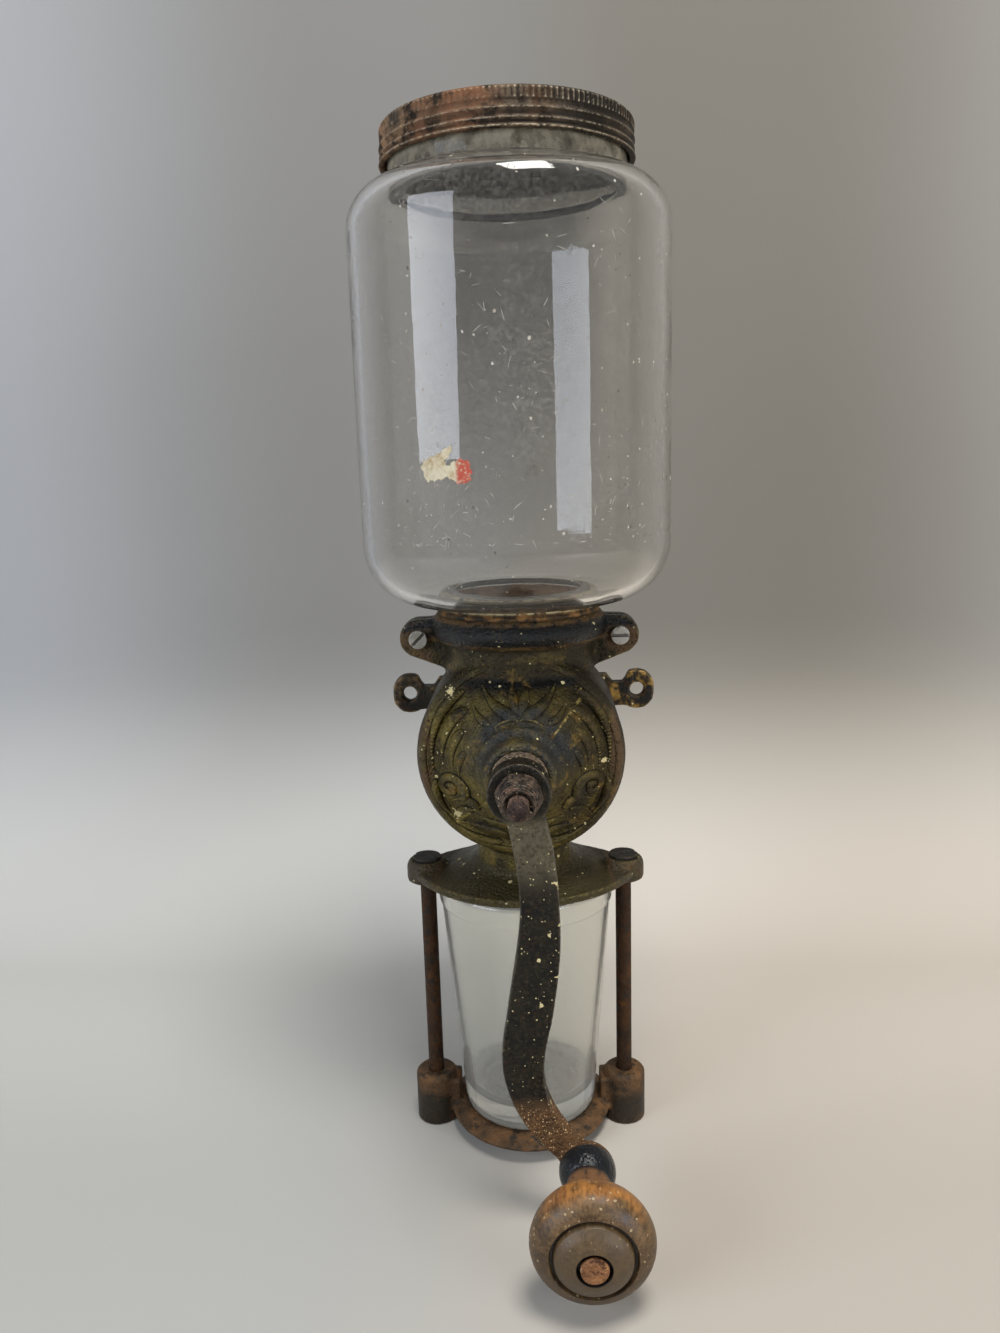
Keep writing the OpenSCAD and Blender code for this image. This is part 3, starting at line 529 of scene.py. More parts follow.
def make_film():
    """Dust on the jar: a thin smear, scattered specks, painted shade on the wall side and grime on the neck, as
    see-through.
    """
    made, tree, shader, where = new_material("dust_film", Roughness=0.9)
    along = axes_of(tree, where)
    smear = patches(tree, where, 24.0, 0.45, 0.2, 1.7)
    fine = patches(tree, where, 600.0, 0.45, 0.2, 2.7)
    haze = times(tree, times(tree, smear, fine), 0.16)
    dots = specks(tree, where, 170.0, 0.13, 0.4)
    small = specks(tree, where, 420.0, 0.2, 0.22)
    bits = times(tree, larger(tree, dots, small), 0.85)
    dust = math_node(tree, "ADD", haze, bits)
    aside = math_node(tree, "ABSOLUTE", along["X"])
    # Painted shade: a dark see-through sheet on the jar's wall side, behind its middle
    back_shade_zone = times(tree, window(tree, along["Y"], (AXIS_Y + 10) * MM, (AXIS_Y + 40) * MM),
                      window(tree, aside, 0.05, 0.022))
    back_shade_zone = times(tree, back_shade_zone, window(tree, along["Z"], 0.03, 0.2))
    painted_back_shade = times(tree, back_shade_zone, 0.71)
    grimy = patches(tree, where, 150.0, 0.7, 0.25, 3.7)
    above = window(tree, along["Z"], NECK_Z * MM - 0.0006, NECK_Z * MM + 0.0006)
    neck = times(tree, times(tree, above, mixed_value(tree, grimy, 0.35, 1.0)), 0.72)
    colour = mixed(tree, fine, srgb(150, 142, 122), srgb(212, 208, 198))
    colour = mixed(tree, math_node(tree, "GREATER_THAN", painted_back_shade, dust), colour, srgb(34, 32, 28))
    colour = mixed(tree, above, colour, mixed(tree, grimy, srgb(62, 54, 38), srgb(158, 150, 130)))
    wire(tree, shader, Base_Color=colour, Alpha=larger(tree, larger(tree, dust, painted_back_shade), neck))
    return made


def make_grounds():
    """Old coffee dust on the cup's floor: see-through brown patches."""
    made, tree, shader, where = new_material("coffee_dust", Roughness=0.95)
    patchy = patches(tree, where, 120.0, 0.6, 0.25, 1.9)
    fine = patches(tree, where, 900.0, 0.5, 0.2, 2.9)
    wire(tree, shader, Base_Color=mixed(tree, fine, srgb(78, 66, 48), srgb(122, 110, 88)),
         Alpha=mixed_value(tree, patchy, 0.5, 0.9))
    return made


def make_label():
    """Torn paper scrap: cream with brown foxing and a faded red corner."""
    made, tree, shader, where = new_material("torn_paper", Roughness=0.85)
    stains = patches(tree, where, 260.0, 0.42, 0.12, 3.3)
    colour = mixed(tree, stains, srgb(206, 196, 168), srgb(168, 146, 108))
    across = axes_of(tree, where)["X"]
    corner = window(tree, across, -0.0205, -0.0185)
    worn_red = patches(tree, where, 900.0, 0.7, 0.1, 5.3)
    colour = mixed(tree, times(tree, corner, worn_red), colour, srgb(176, 78, 62))
    wire(tree, shader, Base_Color=colour)
    return made


KNOB_WOOD = make_wood()
JAR_GLASS = make_glass("dusty_jar_glass", (0.94, 0.928, 0.902, 1.0), (0.015, 0.14), 0.99)
CUP_GLASS = make_glass("hazy_cup_glass", (0.93, 0.925, 0.865, 1.0), (0.07, 0.22), 0.87)
TORN_PAPER = make_label()
DUST_FILM = make_film()
COFFEE_DUST = make_grounds()

# Mesh helpers


@contextmanager
def edited(mesh):
    """Mesh opened for a change of its points and faces, and written back after it."""
    shape = bmesh.new()
    shape.from_mesh(mesh)
    yield shape
    shape.to_mesh(mesh)
    shape.free()


def finish_piece(name, mesh, material, body, replaced=(), angle=38.0, sheet=False):
    """Object at the origin with a material, smooth faces with sharp edges over an angle, riding on a body.
    A sheet keeps its faces as they are wound."""
    with edited(mesh) as shape:
        bmesh.ops.remove_doubles(shape, verts=shape.verts, dist=2e-6)
        if not sheet:
            bmesh.ops.dissolve_degenerate(shape, edges=shape.edges, dist=1e-7)
            bmesh.ops.recalc_face_normals(shape, faces=shape.faces)
    mesh.polygons.foreach_set("use_smooth", np.ones(len(mesh.polygons), bool))
    mesh.set_sharp_from_angle(angle=math.radians(angle))
    mesh.materials.append(material)
    piece = bpy.data.objects.new(name, mesh)
    bpy.context.scene.collection.objects.link(piece)
    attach(piece, body)
    if replaced:
        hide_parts(*replaced)
    return piece


def net_cells(index):
    """Four sided cells of a net of point numbers."""
    return np.stack([index[:-1, :-1], index[:-1, 1:], index[1:, 1:], index[1:, :-1]], axis=-1).reshape(-1, 4)


def faced_mesh(name, points, faces):
    """Mesh of points in millimetres and faces that name them."""
    mesh = bpy.data.meshes.new(name)
    mesh.from_pydata((points.reshape(-1, 3) * MM).tolist(), [], faces.tolist())
    return mesh


def grid_mesh(name, points, wrap_rows=False, wrap_columns=True):
    """Mesh of quads on an array of points, rows by columns by xyz, in millimetres."""
    rows, columns = points.shape[:2]
    index = np.arange(rows * columns).reshape(rows, columns)
    if wrap_rows:
        index = np.vstack([index, index[:1]])
    if wrap_columns:
        index = np.hstack([index, index[:, :1]])
    return faced_mesh(name, points, net_cells(index))


def rounded(corners, closed=False, steps=5):
    """Outline through corners (radius, height, ease): each corner eases along a parabola between points that lie
    ease before and after it on its two edges."""
    count = len(corners)
    outline = []
    for i, (radius, height, ease) in enumerate(corners):
        here = np.array([radius, height], float)
        if ease == 0 or (not closed and i in (0, count - 1)):
            outline.append(here)
            continue
        before = np.array(corners[i - 1][:2], float) - here
        after = np.array(corners[(i + 1) % count][:2], float) - here
        start = here + before * min(0.5, ease / np.linalg.norm(before))
        end = here + after * min(0.5, ease / np.linalg.norm(after))
        t = np.linspace(0, 1, steps + 1)[:, None]
        outline.extend((1 - t) ** 2 * start + 2 * t * (1 - t) * here + t ** 2 * end)
    return np.array(outline)


def turned(name, outline, centre, axis="Z", columns=160, closed=False, change=None):
    """Surface of revolution: outline (radius, height along axis) carried round an axis through centre.
    change(radius, height, angle) may return a new radius and height for each point."""
    angle = np.linspace(0, TAU, columns, endpoint=False)[None, :]
    radius = np.repeat(outline[:, :1], columns, axis=1)
    height = np.repeat(outline[:, 1:], columns, axis=1)
    if change:
        radius, height = change(radius, height, angle)
    across, along = radius * np.cos(angle), radius * np.sin(angle)
    if axis == "Z":
        points = np.stack([centre[0] + across, centre[1] + along, height], axis=-1)
    else:
        points = np.stack([centre[0] + across, -height, centre[1] + along], axis=-1)
    return grid_mesh(name, points, wrap_rows=closed)


def turned_piece(name, outline, centre, material, body, replaced=(), angle=38.0, sheet=False, **shape):
    """Surface of revolution finished as a piece."""
    finish_piece(name, turned(name, outline, centre, **shape), material, body, replaced, angle, sheet)


# Collar band: middle height, half height and the half width up to its screw ears; the arm's ball: depth and radius
BAND_Z, BAND_HALF, BAND_END = 43.8, 4.6, 35.0
BALL_Y, BALL_R = -144.0, 11.2
# Webs of the wall ears: where they start and end beside the drum, and the depth in front of which nothing moves
WEB_START, WEB_END, WEB_FRONT = 41.5, 52.2, -9.0


def beaded_collar(points):
    """Collar band swollen into a round bead: pushed out from the jar's axis by half an ellipse over its height."""
    away = points[:, :2] - np.array([0.0, AXIS_Y])
    reach = np.linalg.norm(away, axis=1)
    above, side = points[:, 2] - BAND_Z, np.abs(points[:, 0])
    swell = 1.3 * np.sqrt(np.clip(1 - (above / BAND_HALF) ** 2, 0, 1)) - 0.5
    on_band = (np.abs(above) < BAND_HALF) & (reach > 31.0) & (side < BAND_END) & (points[:, 1] < AXIS_Y - 8)
    push = np.where(on_band, swell * np.clip((BAND_END - side) / 4, 0, 1), 0)
    moved = points.copy()
    moved[:, :2] += away / reach[:, None] * push[:, None]
    return moved


def round_ball(points):
    """Ball at the arm's end made truly round: points close to its surface are set on the sphere."""
    centre = np.array([KNOB_X, BALL_Y, KNOB_Z])
    away = points - centre
    reach = np.linalg.norm(away, axis=1)[:, None]
    return np.where(np.abs(reach - BALL_R) < 0.45, centre + away * BALL_R / np.maximum(reach, 1.0), points)


def waisted_ears(points):
    """Upper edge of the webs between drum and wall ears, drawn in by about half beside the ear rings."""
    side = np.abs(points[:, 0])
    pull = np.clip((side - WEB_START) / 3, 0, 1) * np.clip((WEB_END - side) / 2.5, 0, 1)
    pull = pull * (points[:, 1] > WEB_FRONT)
    moved = points.copy()
    moved[:, 2] *= np.where(points[:, 2] > 0, 1 - 0.52 * pull, 1)
    return moved


def cast_copy(node, material, voxel, smooth, body, change=None):
    """Copy of a solid as a casting, replacing it: refilled with cells of a size in millimetres, its corners eased in
    a number of rounds. change(points) may move the points, in millimetres."""
    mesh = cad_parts[node].data.copy()
    with edited(mesh) as shape:
        bmesh.ops.remove_doubles(shape, verts=shape.verts, dist=1e-6)
    maker = bpy.data.objects.new(node + "_maker", mesh)
    bpy.context.scene.collection.objects.link(maker)
    refill = maker.modifiers.new("refill", "REMESH")
    refill.mode = "VOXEL"
    refill.voxel_size = voxel * MM
    ease = maker.modifiers.new("ease", "SMOOTH")
    ease.factor = 0.5
    ease.iterations = smooth
    settled = maker.evaluated_get(bpy.context.evaluated_depsgraph_get())
    result = bpy.data.meshes.new_from_object(settled)
    bpy.data.objects.remove(maker)
    if change:
        points = np.empty(len(result.vertices) * 3)
        result.vertices.foreach_get("co", points)
        moved = change(points.reshape(-1, 3) / MM)
        result.vertices.foreach_set("co", (moved * MM).ravel())
        result.update()
    result.materials.clear()
    finish_piece(node + "_cast", result, material, body, (node,), 60.0)


# Glass hopper jar


JAR_WALL, JAR_SHOULDER, JAR_CORNER, MOUTH_R, OUTLET_R = 3.5, 17.0, 25.0, 46.5, 30.2
JAR_FLOOR = RING_HIGH[2] + 0.3
SIDE_TOP = NECK_Z - JAR_SHOULDER


def arc(centre_r, centre_z, radius, first, last):
    """Corners along an arc, from first to last in degrees."""
    turn = np.radians(np.linspace(first, last, 15))
    return [(centre_r + radius * math.cos(a), centre_z + radius * math.sin(a), 0) for a in turn]


def jar_outside(lift):
    """Corners of the jar's outside from the floor's edge to the mouth, lifted off the glass."""
    corners = arc(JAR_R - JAR_CORNER, JAR_FLOOR + JAR_CORNER, JAR_CORNER + lift, -90, 0)
    corners += arc(JAR_R - JAR_SHOULDER, SIDE_TOP, JAR_SHOULDER + lift, 0, 84)
    return corners + [(MOUTH_R + lift, NECK_Z + lift, 1.5), (MOUTH_R + lift, JAR_HIGH[2], 1.0)]


def make_jar():
    """Jar wall: outer outline up and inner outline down, turned about the jar axis."""
    low, top = JAR_LOW[2], JAR_HIGH[2]
    outside = [(OUTLET_R, low, 0.6), (OUTLET_R, JAR_FLOOR, 1.2)] + jar_outside(0.0)
    inside = [(MOUTH_R - JAR_WALL, top, 1.0), (MOUTH_R - JAR_WALL, NECK_Z - JAR_WALL, 2.0)]
    inside += arc(JAR_R - JAR_SHOULDER, SIDE_TOP, JAR_SHOULDER - JAR_WALL, 90, 0)
    inside += arc(JAR_R - JAR_CORNER, JAR_FLOOR + JAR_CORNER, JAR_CORNER - JAR_WALL, 0, -90)
    inside += [(OUTLET_R - JAR_WALL, JAR_FLOOR + JAR_WALL, 2.0), (OUTLET_R - JAR_WALL, low, 0.6)]
    turned_piece("hopper_jar_glass", rounded(outside + inside, closed=True), JAR_AXIS, JAR_GLASS, "mill_body",
                 ("hopper_jar",), 80, columns=192, closed=True)


def make_jar_film():
    """Dust film: the jar's outside outline lifted a little, turned about the jar axis."""
    turned_piece("jar_dust_film", rounded(jar_outside(0.06)), JAR_AXIS, DUST_FILM, "mill_body", angle=80, sheet=True,
                 columns=192)


# Corners of the torn scrap, across and up from its middle
SCRAP = np.array([(-11, 1.5), (-8.5, 4.2), (-4, 5.6), (0.5, 8.3), (2.2, 8.8), (2.0, 6.6), (-0.6, 3.6), (-0.9, 1.6),
                  (1.5, 2.2), (4.4, 4.0), (8.2, 3.2), (9.3, -0.5), (8.6, -4.0), (4.5, -5.0), (1.8, -3.4), (0.2, -2.3),
                  (-3, -3.2), (-8.6, -3.8), (-9.8, -1.5)])


def inside_outline(corners, across, up):
    """True for points inside a closed outline, by counting the edges to the right of each point."""
    crossings = np.zeros(across.shape, int)
    for (x0, z0), (x1, z1) in zip(corners, np.roll(corners, -1, axis=0)):
        spans = (z0 > up) != (z1 > up)
        at = x0 + (up - z0) / (z1 - z0 + 1e-9) * (x1 - x0)
        crossings += spans & (across < at)
    return crossings % 2 == 1


def make_label_scrap():
    """Torn scrap: a fine net on the jar's wall, of which only the cells inside a wandering outline are kept."""
    middle_a, middle_z = math.radians(-90 - 21), 109.5
    across, up = np.meshgrid(np.linspace(-12, 12, 121), np.linspace(-7, 10, 86))
    around = middle_a + across / JAR_R
    points = on_jar(around, middle_z + up, 0.14)
    index = np.arange(across.size).reshape(across.shape)
    wander_x = across + 0.3 * np.sin(2.3 * up + 0.7 * across) + 0.15 * np.sin(6 * up)
    wander_z = up + 0.3 * np.sin(2.1 * across) + 0.15 * np.sin(5 * across + up)
    kept = inside_outline(SCRAP, wander_x, wander_z)[:-1, :-1].reshape(-1)
    mesh = faced_mesh("label_scrap", points, net_cells(index)[kept])
    with edited(mesh) as shape:
        bmesh.ops.delete(shape, geom=[v for v in shape.verts if not v.link_faces], context="VERTS")
    finish_piece("label_scrap", mesh, TORN_PAPER, "mill_body", sheet=True)


def on_jar(around, height, lift):
    """Points lifted off the jar's upright wall, from angles round the jar and heights."""
    reach = JAR_R + lift
    return np.stack([reach * np.cos(around), AXIS_Y + reach * np.sin(around), height], axis=-1)


def scatter_on_jar(name, material, middle, height, long, thin, lean):
    """Six sided flakes on the jar's upright wall: angle round the jar, height, half length, half width and slant."""
    turn = np.linspace(0, TAU, 6, endpoint=False)[None, :]
    first, second = long[:, None] * np.cos(turn), thin[:, None] * np.sin(turn)
    across = first * np.cos(lean)[:, None] - second * np.sin(lean)[:, None]
    up = first * np.sin(lean)[:, None] + second * np.cos(lean)[:, None]
    around = middle[:, None] + across / JAR_R
    points = on_jar(around, height[:, None] + up, 0.1)
    mesh = faced_mesh(name, points, np.arange(middle.size * 6).reshape(-1, 6))
    finish_piece(name, mesh, material, "mill_body", sheet=True)


def make_jar_dust():
    """Dust on the jar: pale flakes, thin scratches, and dark crumbs on the right, scattered by chance."""
    chance = np.random.default_rng(7)
    flakes, scratches, crumbs = 230, 260, 260
    wall = (83, 203)
    count = flakes + scratches
    middle = np.radians(np.where(chance.random(count) < 0.4, chance.normal(-112, 20, count),
                                 chance.uniform(-190, 10, count)))
    height = np.where(chance.random(count) < 0.35, chance.normal(92, 16, count), chance.uniform(84, 202, count))
    flake = np.arange(count) < flakes
    long = np.where(flake, chance.lognormal(-1.5, 0.5, count), chance.uniform(0.6, 2.6, count))
    thin = np.where(flake, long * chance.uniform(0.5, 1, count), chance.uniform(0.04, 0.1, count))
    lean = chance.uniform(0, math.pi, count)
    scatter_on_jar("jar_dust", GLASS_DUST, middle, np.clip(height, *wall), long, thin, lean)
    middle = np.radians(chance.normal(-32, 14, crumbs))
    height = np.clip(chance.normal(112, 26, crumbs), *wall)
    long = chance.lognormal(-1.75, 0.4, crumbs)
    scatter_on_jar("jar_crumbs", RUSTED_IRON, middle, height, long, 0.7 * long, chance.uniform(0, math.pi, crumbs))


def make_outlet_grounds():
    """Inside the collar: a low wavy ring of old grounds on the casing, and brown packing round the jar's outlet."""
    outline = [(r, JAR_LOW[2] - 0.1, 0) for r in np.linspace(OUTLET_R - JAR_WALL - 0.2, 16.5, 12)]

    def heap(radius, height, angle):
        """Grounds raised in crossing waves."""
        wave = np.sin(7 * angle) * np.sin(0.9 * radius) + 0.6 * np.sin(17 * angle + radius)
        return radius, height + 0.25 + 0.12 * wave

    turned_piece("outlet_grounds", rounded(outline), JAR_AXIS, OLD_GROUNDS, "mill_body", sheet=True, columns=120,
                 change=heap)
    wrap = [(OUTLET_R + 0.15, z, 0) for z in np.linspace(JAR_LOW[2] + 0.3, RING_HIGH[2] - 0.4, 6)]
    turned_piece("outlet_packing", rounded(wrap), JAR_AXIS, OLD_GROUNDS, "mill_body", sheet=True, columns=120)


# Tin lid


KNURLS = 144


def make_lid():
    """Lid: skirt outline with rolled lip and thread ridges that climb, and upright knurls under the top edge."""
    low, top, outer = upright("jar_lid")
    bore = outer - 2.4
    knurl_foot, ridge_end, upper_ridge, lower_ridge = 9.2, 8.4, 6.3, 3.1
    heights = np.linspace(0.6, top - low - 1.2, 40)
    skirt = [(bore + 1.2, low + h, 0) for h in heights]
    outline = [(bore, low + 0.4, 0.2), (bore + 0.4, low, 0.3), (bore + 1.0, low, 0.3)] + skirt
    outline += [(bore + 1.2, top - 0.3, 0.4), (bore + 0.2, top, 0.5), (bore - 4, top, 0.5)]
    outline += [(bore - 5.5, top - 0.5, 0.8)] + [(r, top - 0.5, 0) for r in (30, 20, 10, 0)]
    outline += [(0, top - 1.1, 0), (bore - 1, top - 1.1, 0.5), (bore, top - 1.6, 0.5)]

    def press(radius, height, angle):
        """Skirt pushed out by the larger of lip and ridges, and by knurls that fade where rust has eaten them."""
        rise = height - low
        climb = rise - 0.8 * (angle / TAU - 0.5)
        knurl_band = np.clip((rise - knurl_foot) / 0.5, 0, 1) * np.clip((top - 0.5 - height) / 0.4, 0, 1)
        below = 1 - np.clip((rise - ridge_end) / 0.6, 0, 1)
        upper = 0.95 * np.exp(-((climb - upper_ridge) / 0.9) ** 2)
        ridge = below * (upper + 0.85 * np.exp(-((climb - lower_ridge) / 0.8) ** 2))
        lip = 1.2 * np.exp(-((rise - 0.6) / 0.9) ** 2)
        rusted_flat = np.clip(0.6 + 0.8 * np.cos(angle), 0.35, 1)
        knurl = knurl_band * (0.45 + 0.28 * rusted_flat * np.cos(KNURLS * angle))
        on_skirt = radius > bore + 0.9
        return np.where(on_skirt, radius + np.maximum(ridge, lip) + knurl, radius), height

    turned_piece("jar_lid_tin", rounded(outline, closed=True), JAR_AXIS, RUSTED_TIN, "lid", ("jar_lid",), 50,
                 columns=7 * KNURLS, closed=True, change=press)


# Sheet ring round the outlet


def make_ring():
    """Rusty sheet ring: band with a rolled top whose edge is a little ragged."""
    low, high = RING_LOW[2], RING_HIGH[2]
    outer = (RING_HIGH[1] - RING_LOW[1]) / 2
    tall = high - low
    outline = rounded([(outer - 3.6, low, 0.3), (outer - 0.2, low, 0.3), (outer, low + 0.34 * tall, 0.5),
                       (outer - 0.7, low + 0.48 * tall, 0.3), (outer - 0.7, high - 0.9, 0.3), (outer - 1.6, high, 0.4),
                       (outer - 3.6, high, 0.4)], closed=True)

    def ragged(radius, height, angle):
        """Upper edge lowered by a sum of waves round the ring."""
        wander = 0.25 * np.sin(5 * angle + 1) + 0.18 * np.sin(13 * angle) + 0.12 * np.sin(29 * angle + 2)
        upper = np.clip(2 * (height - low) / tall - 1, 0, 1)
        return radius, height + np.minimum(0, wander - 0.2) * upper

    turned_piece("jar_ring_sheet", outline, JAR_AXIS, RUSTED_SHEET, "mill_body", ("jar_ring",), columns=220,
                 closed=True, change=ragged)


# Drum face with its scroll relief


# Height of the ornament's ridges on half their width
RIDGE_RATIO = 1.12


def stroke(start, bend, end, wide, steps=26):
    """Leaf or stem: a parabola from start over bend to end, thickest a third along, as points with a half width."""
    t = np.linspace(0, 1, steps)[:, None]
    start, bend, end = np.array([start, bend, end], float)
    way = (1 - t) ** 2 * start + 2 * t * (1 - t) * bend + t ** 2 * end
    swell = wide * (0.35 + 0.65 * np.sin(math.pi * t ** 0.7)) * (1 - 0.55 * t)
    return np.hstack([way, swell])


def volute(centre, radius, first, turns, wide, steps=60):
    """Scroll: a spiral that winds in to its centre."""
    t = np.linspace(0, 1, steps)
    angle = math.radians(first) + TAU * turns * t
    reach = radius * (1 - 0.82 * t)
    way = np.stack([centre[0] + reach * np.cos(angle), centre[1] + reach * np.sin(angle)], axis=-1)
    return np.hstack([way, (wide * (1 - 0.4 * t))[:, None]])


def relief_strokes():
    """Right half of the ornament round the shaft, in millimetres; the left half mirrors it."""
    return [
        stroke((23, 28.5), (38, 20), (36.2, -3), 2.7), stroke((21.5, 22), (33, 16), (31.8, -2.5), 2.6),
        stroke((23, 14), (29, 8), (27.4, -2), 2.1), stroke((22, 6), (25.5, 2), (24.6, -4.5), 1.7),
        volute((28.6, -10.5), 6.6, 205, -1.05, 2.1), stroke((26.8, -10), (29, -8.2), (31.2, -10.4), 2.0),
        stroke((17.5, -18), (20, -10.5), (29, -17), 2.2), stroke((35.4, -9), (36.5, -17), (28, -25), 2.2),
        stroke((20, -19.5), (24.5, -18.5), (27.5, -22.5), 1.9), stroke((7, -31), (15, -27.5), (25, -27), 2.2),
        stroke((9, -36), (20, -35.5), (29, -26.5), 2.0), stroke((5, -26), (11, -24), (17, -22), 1.8),
        stroke((1.5, 21), (10, 22), (14.5, 31), 2.7), stroke((0.6, 22), (3.4, 28), (2.2, 34), 2.3),
        stroke((0, 18.8), (6, 19.6), (10.5, 16), 1.8), stroke((12, 18), (17, 19), (18.5, 24.5), 1.7)]


def relief_height(across, up):
    """Height of the ornament: over each stroke a round ridge a little higher than half its width, the highest
    stroke winning."""
    height = np.zeros_like(across)
    for side in (1, -1):
        for line in relief_strokes():
            for x, z, wide in line:
                away = ((across - side * x) ** 2 + (up - z) ** 2) / wide ** 2
                height = np.maximum(height, RIDGE_RATIO * wide * np.sqrt(np.clip(1 - away, 0, 1)))
    return height


def make_drum_face():
    """Face in polar rows and columns over the casing's sloped edge, flat border and cone, raised by the ornament and
    a rounded rim."""
    rim_r, flat_r, cone_r, hub_r, bead_r = 42.3, 38.5, 35.6, 19.2, 40.3
    border_d, hub_d, sloped = 96.0, 111.4, 3.3
    radius = np.linspace(rim_r, hub_r, 130)[:, None]
    angle = np.linspace(0, TAU, 700, endpoint=False)[None, :]
    across, up = radius * np.cos(angle), radius * np.sin(angle)
    climb = np.clip((cone_r - radius) / (cone_r - hub_r), 0, 1)
    depth = border_d + climb * (hub_d - border_d) - 0.49 * np.clip(radius - flat_r, 0, sloped)
    depth = depth - 1.4 * np.clip(radius - flat_r - sloped, 0, 1)
    edge = np.clip((rim_r - radius) / 0.6, 0, 1) * np.clip((radius - hub_r) / 0.8, 0, 1)
    bead = 1.05 * np.sqrt(np.clip(1 - ((radius - bead_r) / 1.5) ** 2, 0, 1))
    rise = -0.45 + edge * (0.55 + np.maximum(relief_height(across, up), bead))
    slope = np.where(radius < cone_r, math.atan2(hub_d - border_d, cone_r - hub_r), 0)
    out = 1 + 0.6 * rise * np.sin(slope) / radius
    points = np.stack([across * out, -(depth + rise * np.cos(slope)), SHAFT_Z + up * out], axis=-1)
    finish_piece("drum_face_relief", grid_mesh("drum_face_relief", points), DRUM_IRON, "mill_body", angle=80)


# Turned and threaded pieces on the shaft


def threads(low, high, radius, pitch, depth):
    """Change that cuts a screw thread: the radius dips along a helix between two heights."""
    def cut(r, h, angle):
        """Radius less a groove that falls off evenly to both sides of the helix."""
        phase = (h / pitch - angle / TAU) % 1
        groove = depth * (1 - np.abs(2 * phase - 1))
        inside = (h > low) & (h < high) & (r > radius - 0.3)
        return np.where(inside, r - groove, r), h
    return cut


def make_sleeve():
    """Adjusting sleeve: plain rear, and a threaded front behind the crank."""
    rear, front, outer = lying("adjusting_sleeve")
    bore = 6.05
    stem = [(outer - 0.4, h, 0) for h in np.linspace(front - 8.4, front - 0.6, 60)]
    outline = rounded([(bore, rear, 0), (outer - 1, rear, 0.3), (outer - 1, front - 8.6, 0.2), *stem,
                       (outer - 1.2, front, 0.3), (bore, front, 0)], closed=True)
    turned_piece("adjusting_sleeve_thread", outline, SHAFT_AXIS, DARK_STEEL, "sleeve", ("adjusting_sleeve",), 60,
                 axis="Y", columns=120, closed=True, change=threads(front - 8.2, front - 0.6, outer - 0.4, 1.3, 0.75))


def make_shaft():
    """Main shaft: plain bar with its thrust collar, then a threaded stud with a round end."""
    rear, tip, _ = lying("main_shaft")
    bar_r, collar_r, stud_r = 6, 9, 3.95
    collar = lying("adjusting_sleeve")[0] - 3.8
    seat = lying("crank_nut")[0] - 0.5
    bar = [(0, rear, 0), (5.6, rear, 0), (bar_r, rear + 0.4, 0), (bar_r, collar - 3, 0), (collar_r, collar - 3, 0.2),
           (collar_r, collar, 0.2), (bar_r, collar, 0), (bar_r, seat, 0.2), (stud_r, seat, 0.2)]
    stud = [(stud_r, h, 0) for h in np.linspace(seat + 0.2, tip - 1.8, 70)]
    end = [(3.75, tip - 1.7, 0.3), (3.3, tip - 1.0, 0.4), (2.5, tip - 0.45, 0.4), (1.4, tip - 0.1, 0.4), (0, tip, 0)]
    turned_piece("main_shaft_bar", rounded(bar + stud + end), SHAFT_AXIS, SHAFT_STEEL, "crank", ("main_shaft",), 60,
                 axis="Y", columns=96, change=threads(seat + 0.4, tip - 2, stud_r, 1.0, 0.5))


def make_nut():
    """Worn hexagon nut: low corners, cut all along by fine turned rings that narrow towards the front."""
    rear, front, flat = lying("crank_nut")
    bore, rings = 4.05, 7.5
    along = np.linspace(0, 1, 90)
    ringed = flat + 0.9 - 3.4 * along ** 1.6 - 0.62 * (1 - np.abs(2 * ((along * rings) % 1) - 1))
    side = [(r, h, 0) for r, h in zip(ringed, rear + 0.5 + (front - rear - 0.9) * along)]
    outline = rounded([(bore, rear, 0), (flat - 0.4, rear, 0.3), *side, (bore + 1.9, front - 0.2, 0.2),
                       (bore + 1.2, front, 0.2), (bore, front - 0.9, 0.2)], closed=True)

    def hexagon(radius, height, angle):
        """Radius held under a hexagon whose corners are worn by about half."""
        turn = (angle + math.radians(8)) % (TAU / 6) - TAU / 12
        worn_side = flat - 0.1 + 0.45 * (1 / np.cos(turn) - 1) * flat
        return np.minimum(radius, worn_side - 0.55 * (flat + 0.9 - radius)), height

    turned_piece("crank_nut_hexagon", outline, SHAFT_AXIS, DARK_STEEL, "crank", ("crank_nut",), 30, axis="Y",
                 columns=240, closed=True, change=hexagon)


# Knob and rivet


def make_knob():
    """Turned knob: necked back, full belly, flat front with a groove round it and a hole for the rivet."""
    rear, front, full = lying("knob")
    length = front - rear
    bore = 4.06
    shape = [(0.4, 0, 0.2), (0.5, 0.02, 0.8), (0.72, 0.13, 1.5), (0.87, 0.25, 1.5), (0.96, 0.38, 1.5), (1, 0.52, 1.5),
             (0.97, 0.65, 1.4), (0.9, 0.74, 1.2), (0.79, 0.81, 1.0), (0.695, 0.842, 0.3), (0.68, 0.775, 0.3),
             (0.63, 0.775, 0.3), (0.61, 0.86, 0.4), (0.5, 0.94, 1.0), (0.36, 0.99, 0.6)]
    outline = [(bore, rear, 0)] + [(full * r, rear + length * h, ease) for r, h, ease in shape]
    outline += [(6.4, front, 0.3), (6.3, front - 4, 0.1), (bore, front - 4, 0)]
    turned_piece("crank_knob_wood", rounded(outline, closed=True), KNOB_AXIS, KNOB_WOOD, "knob", ("knob",), 50,
                 axis="Y", columns=180, closed=True)


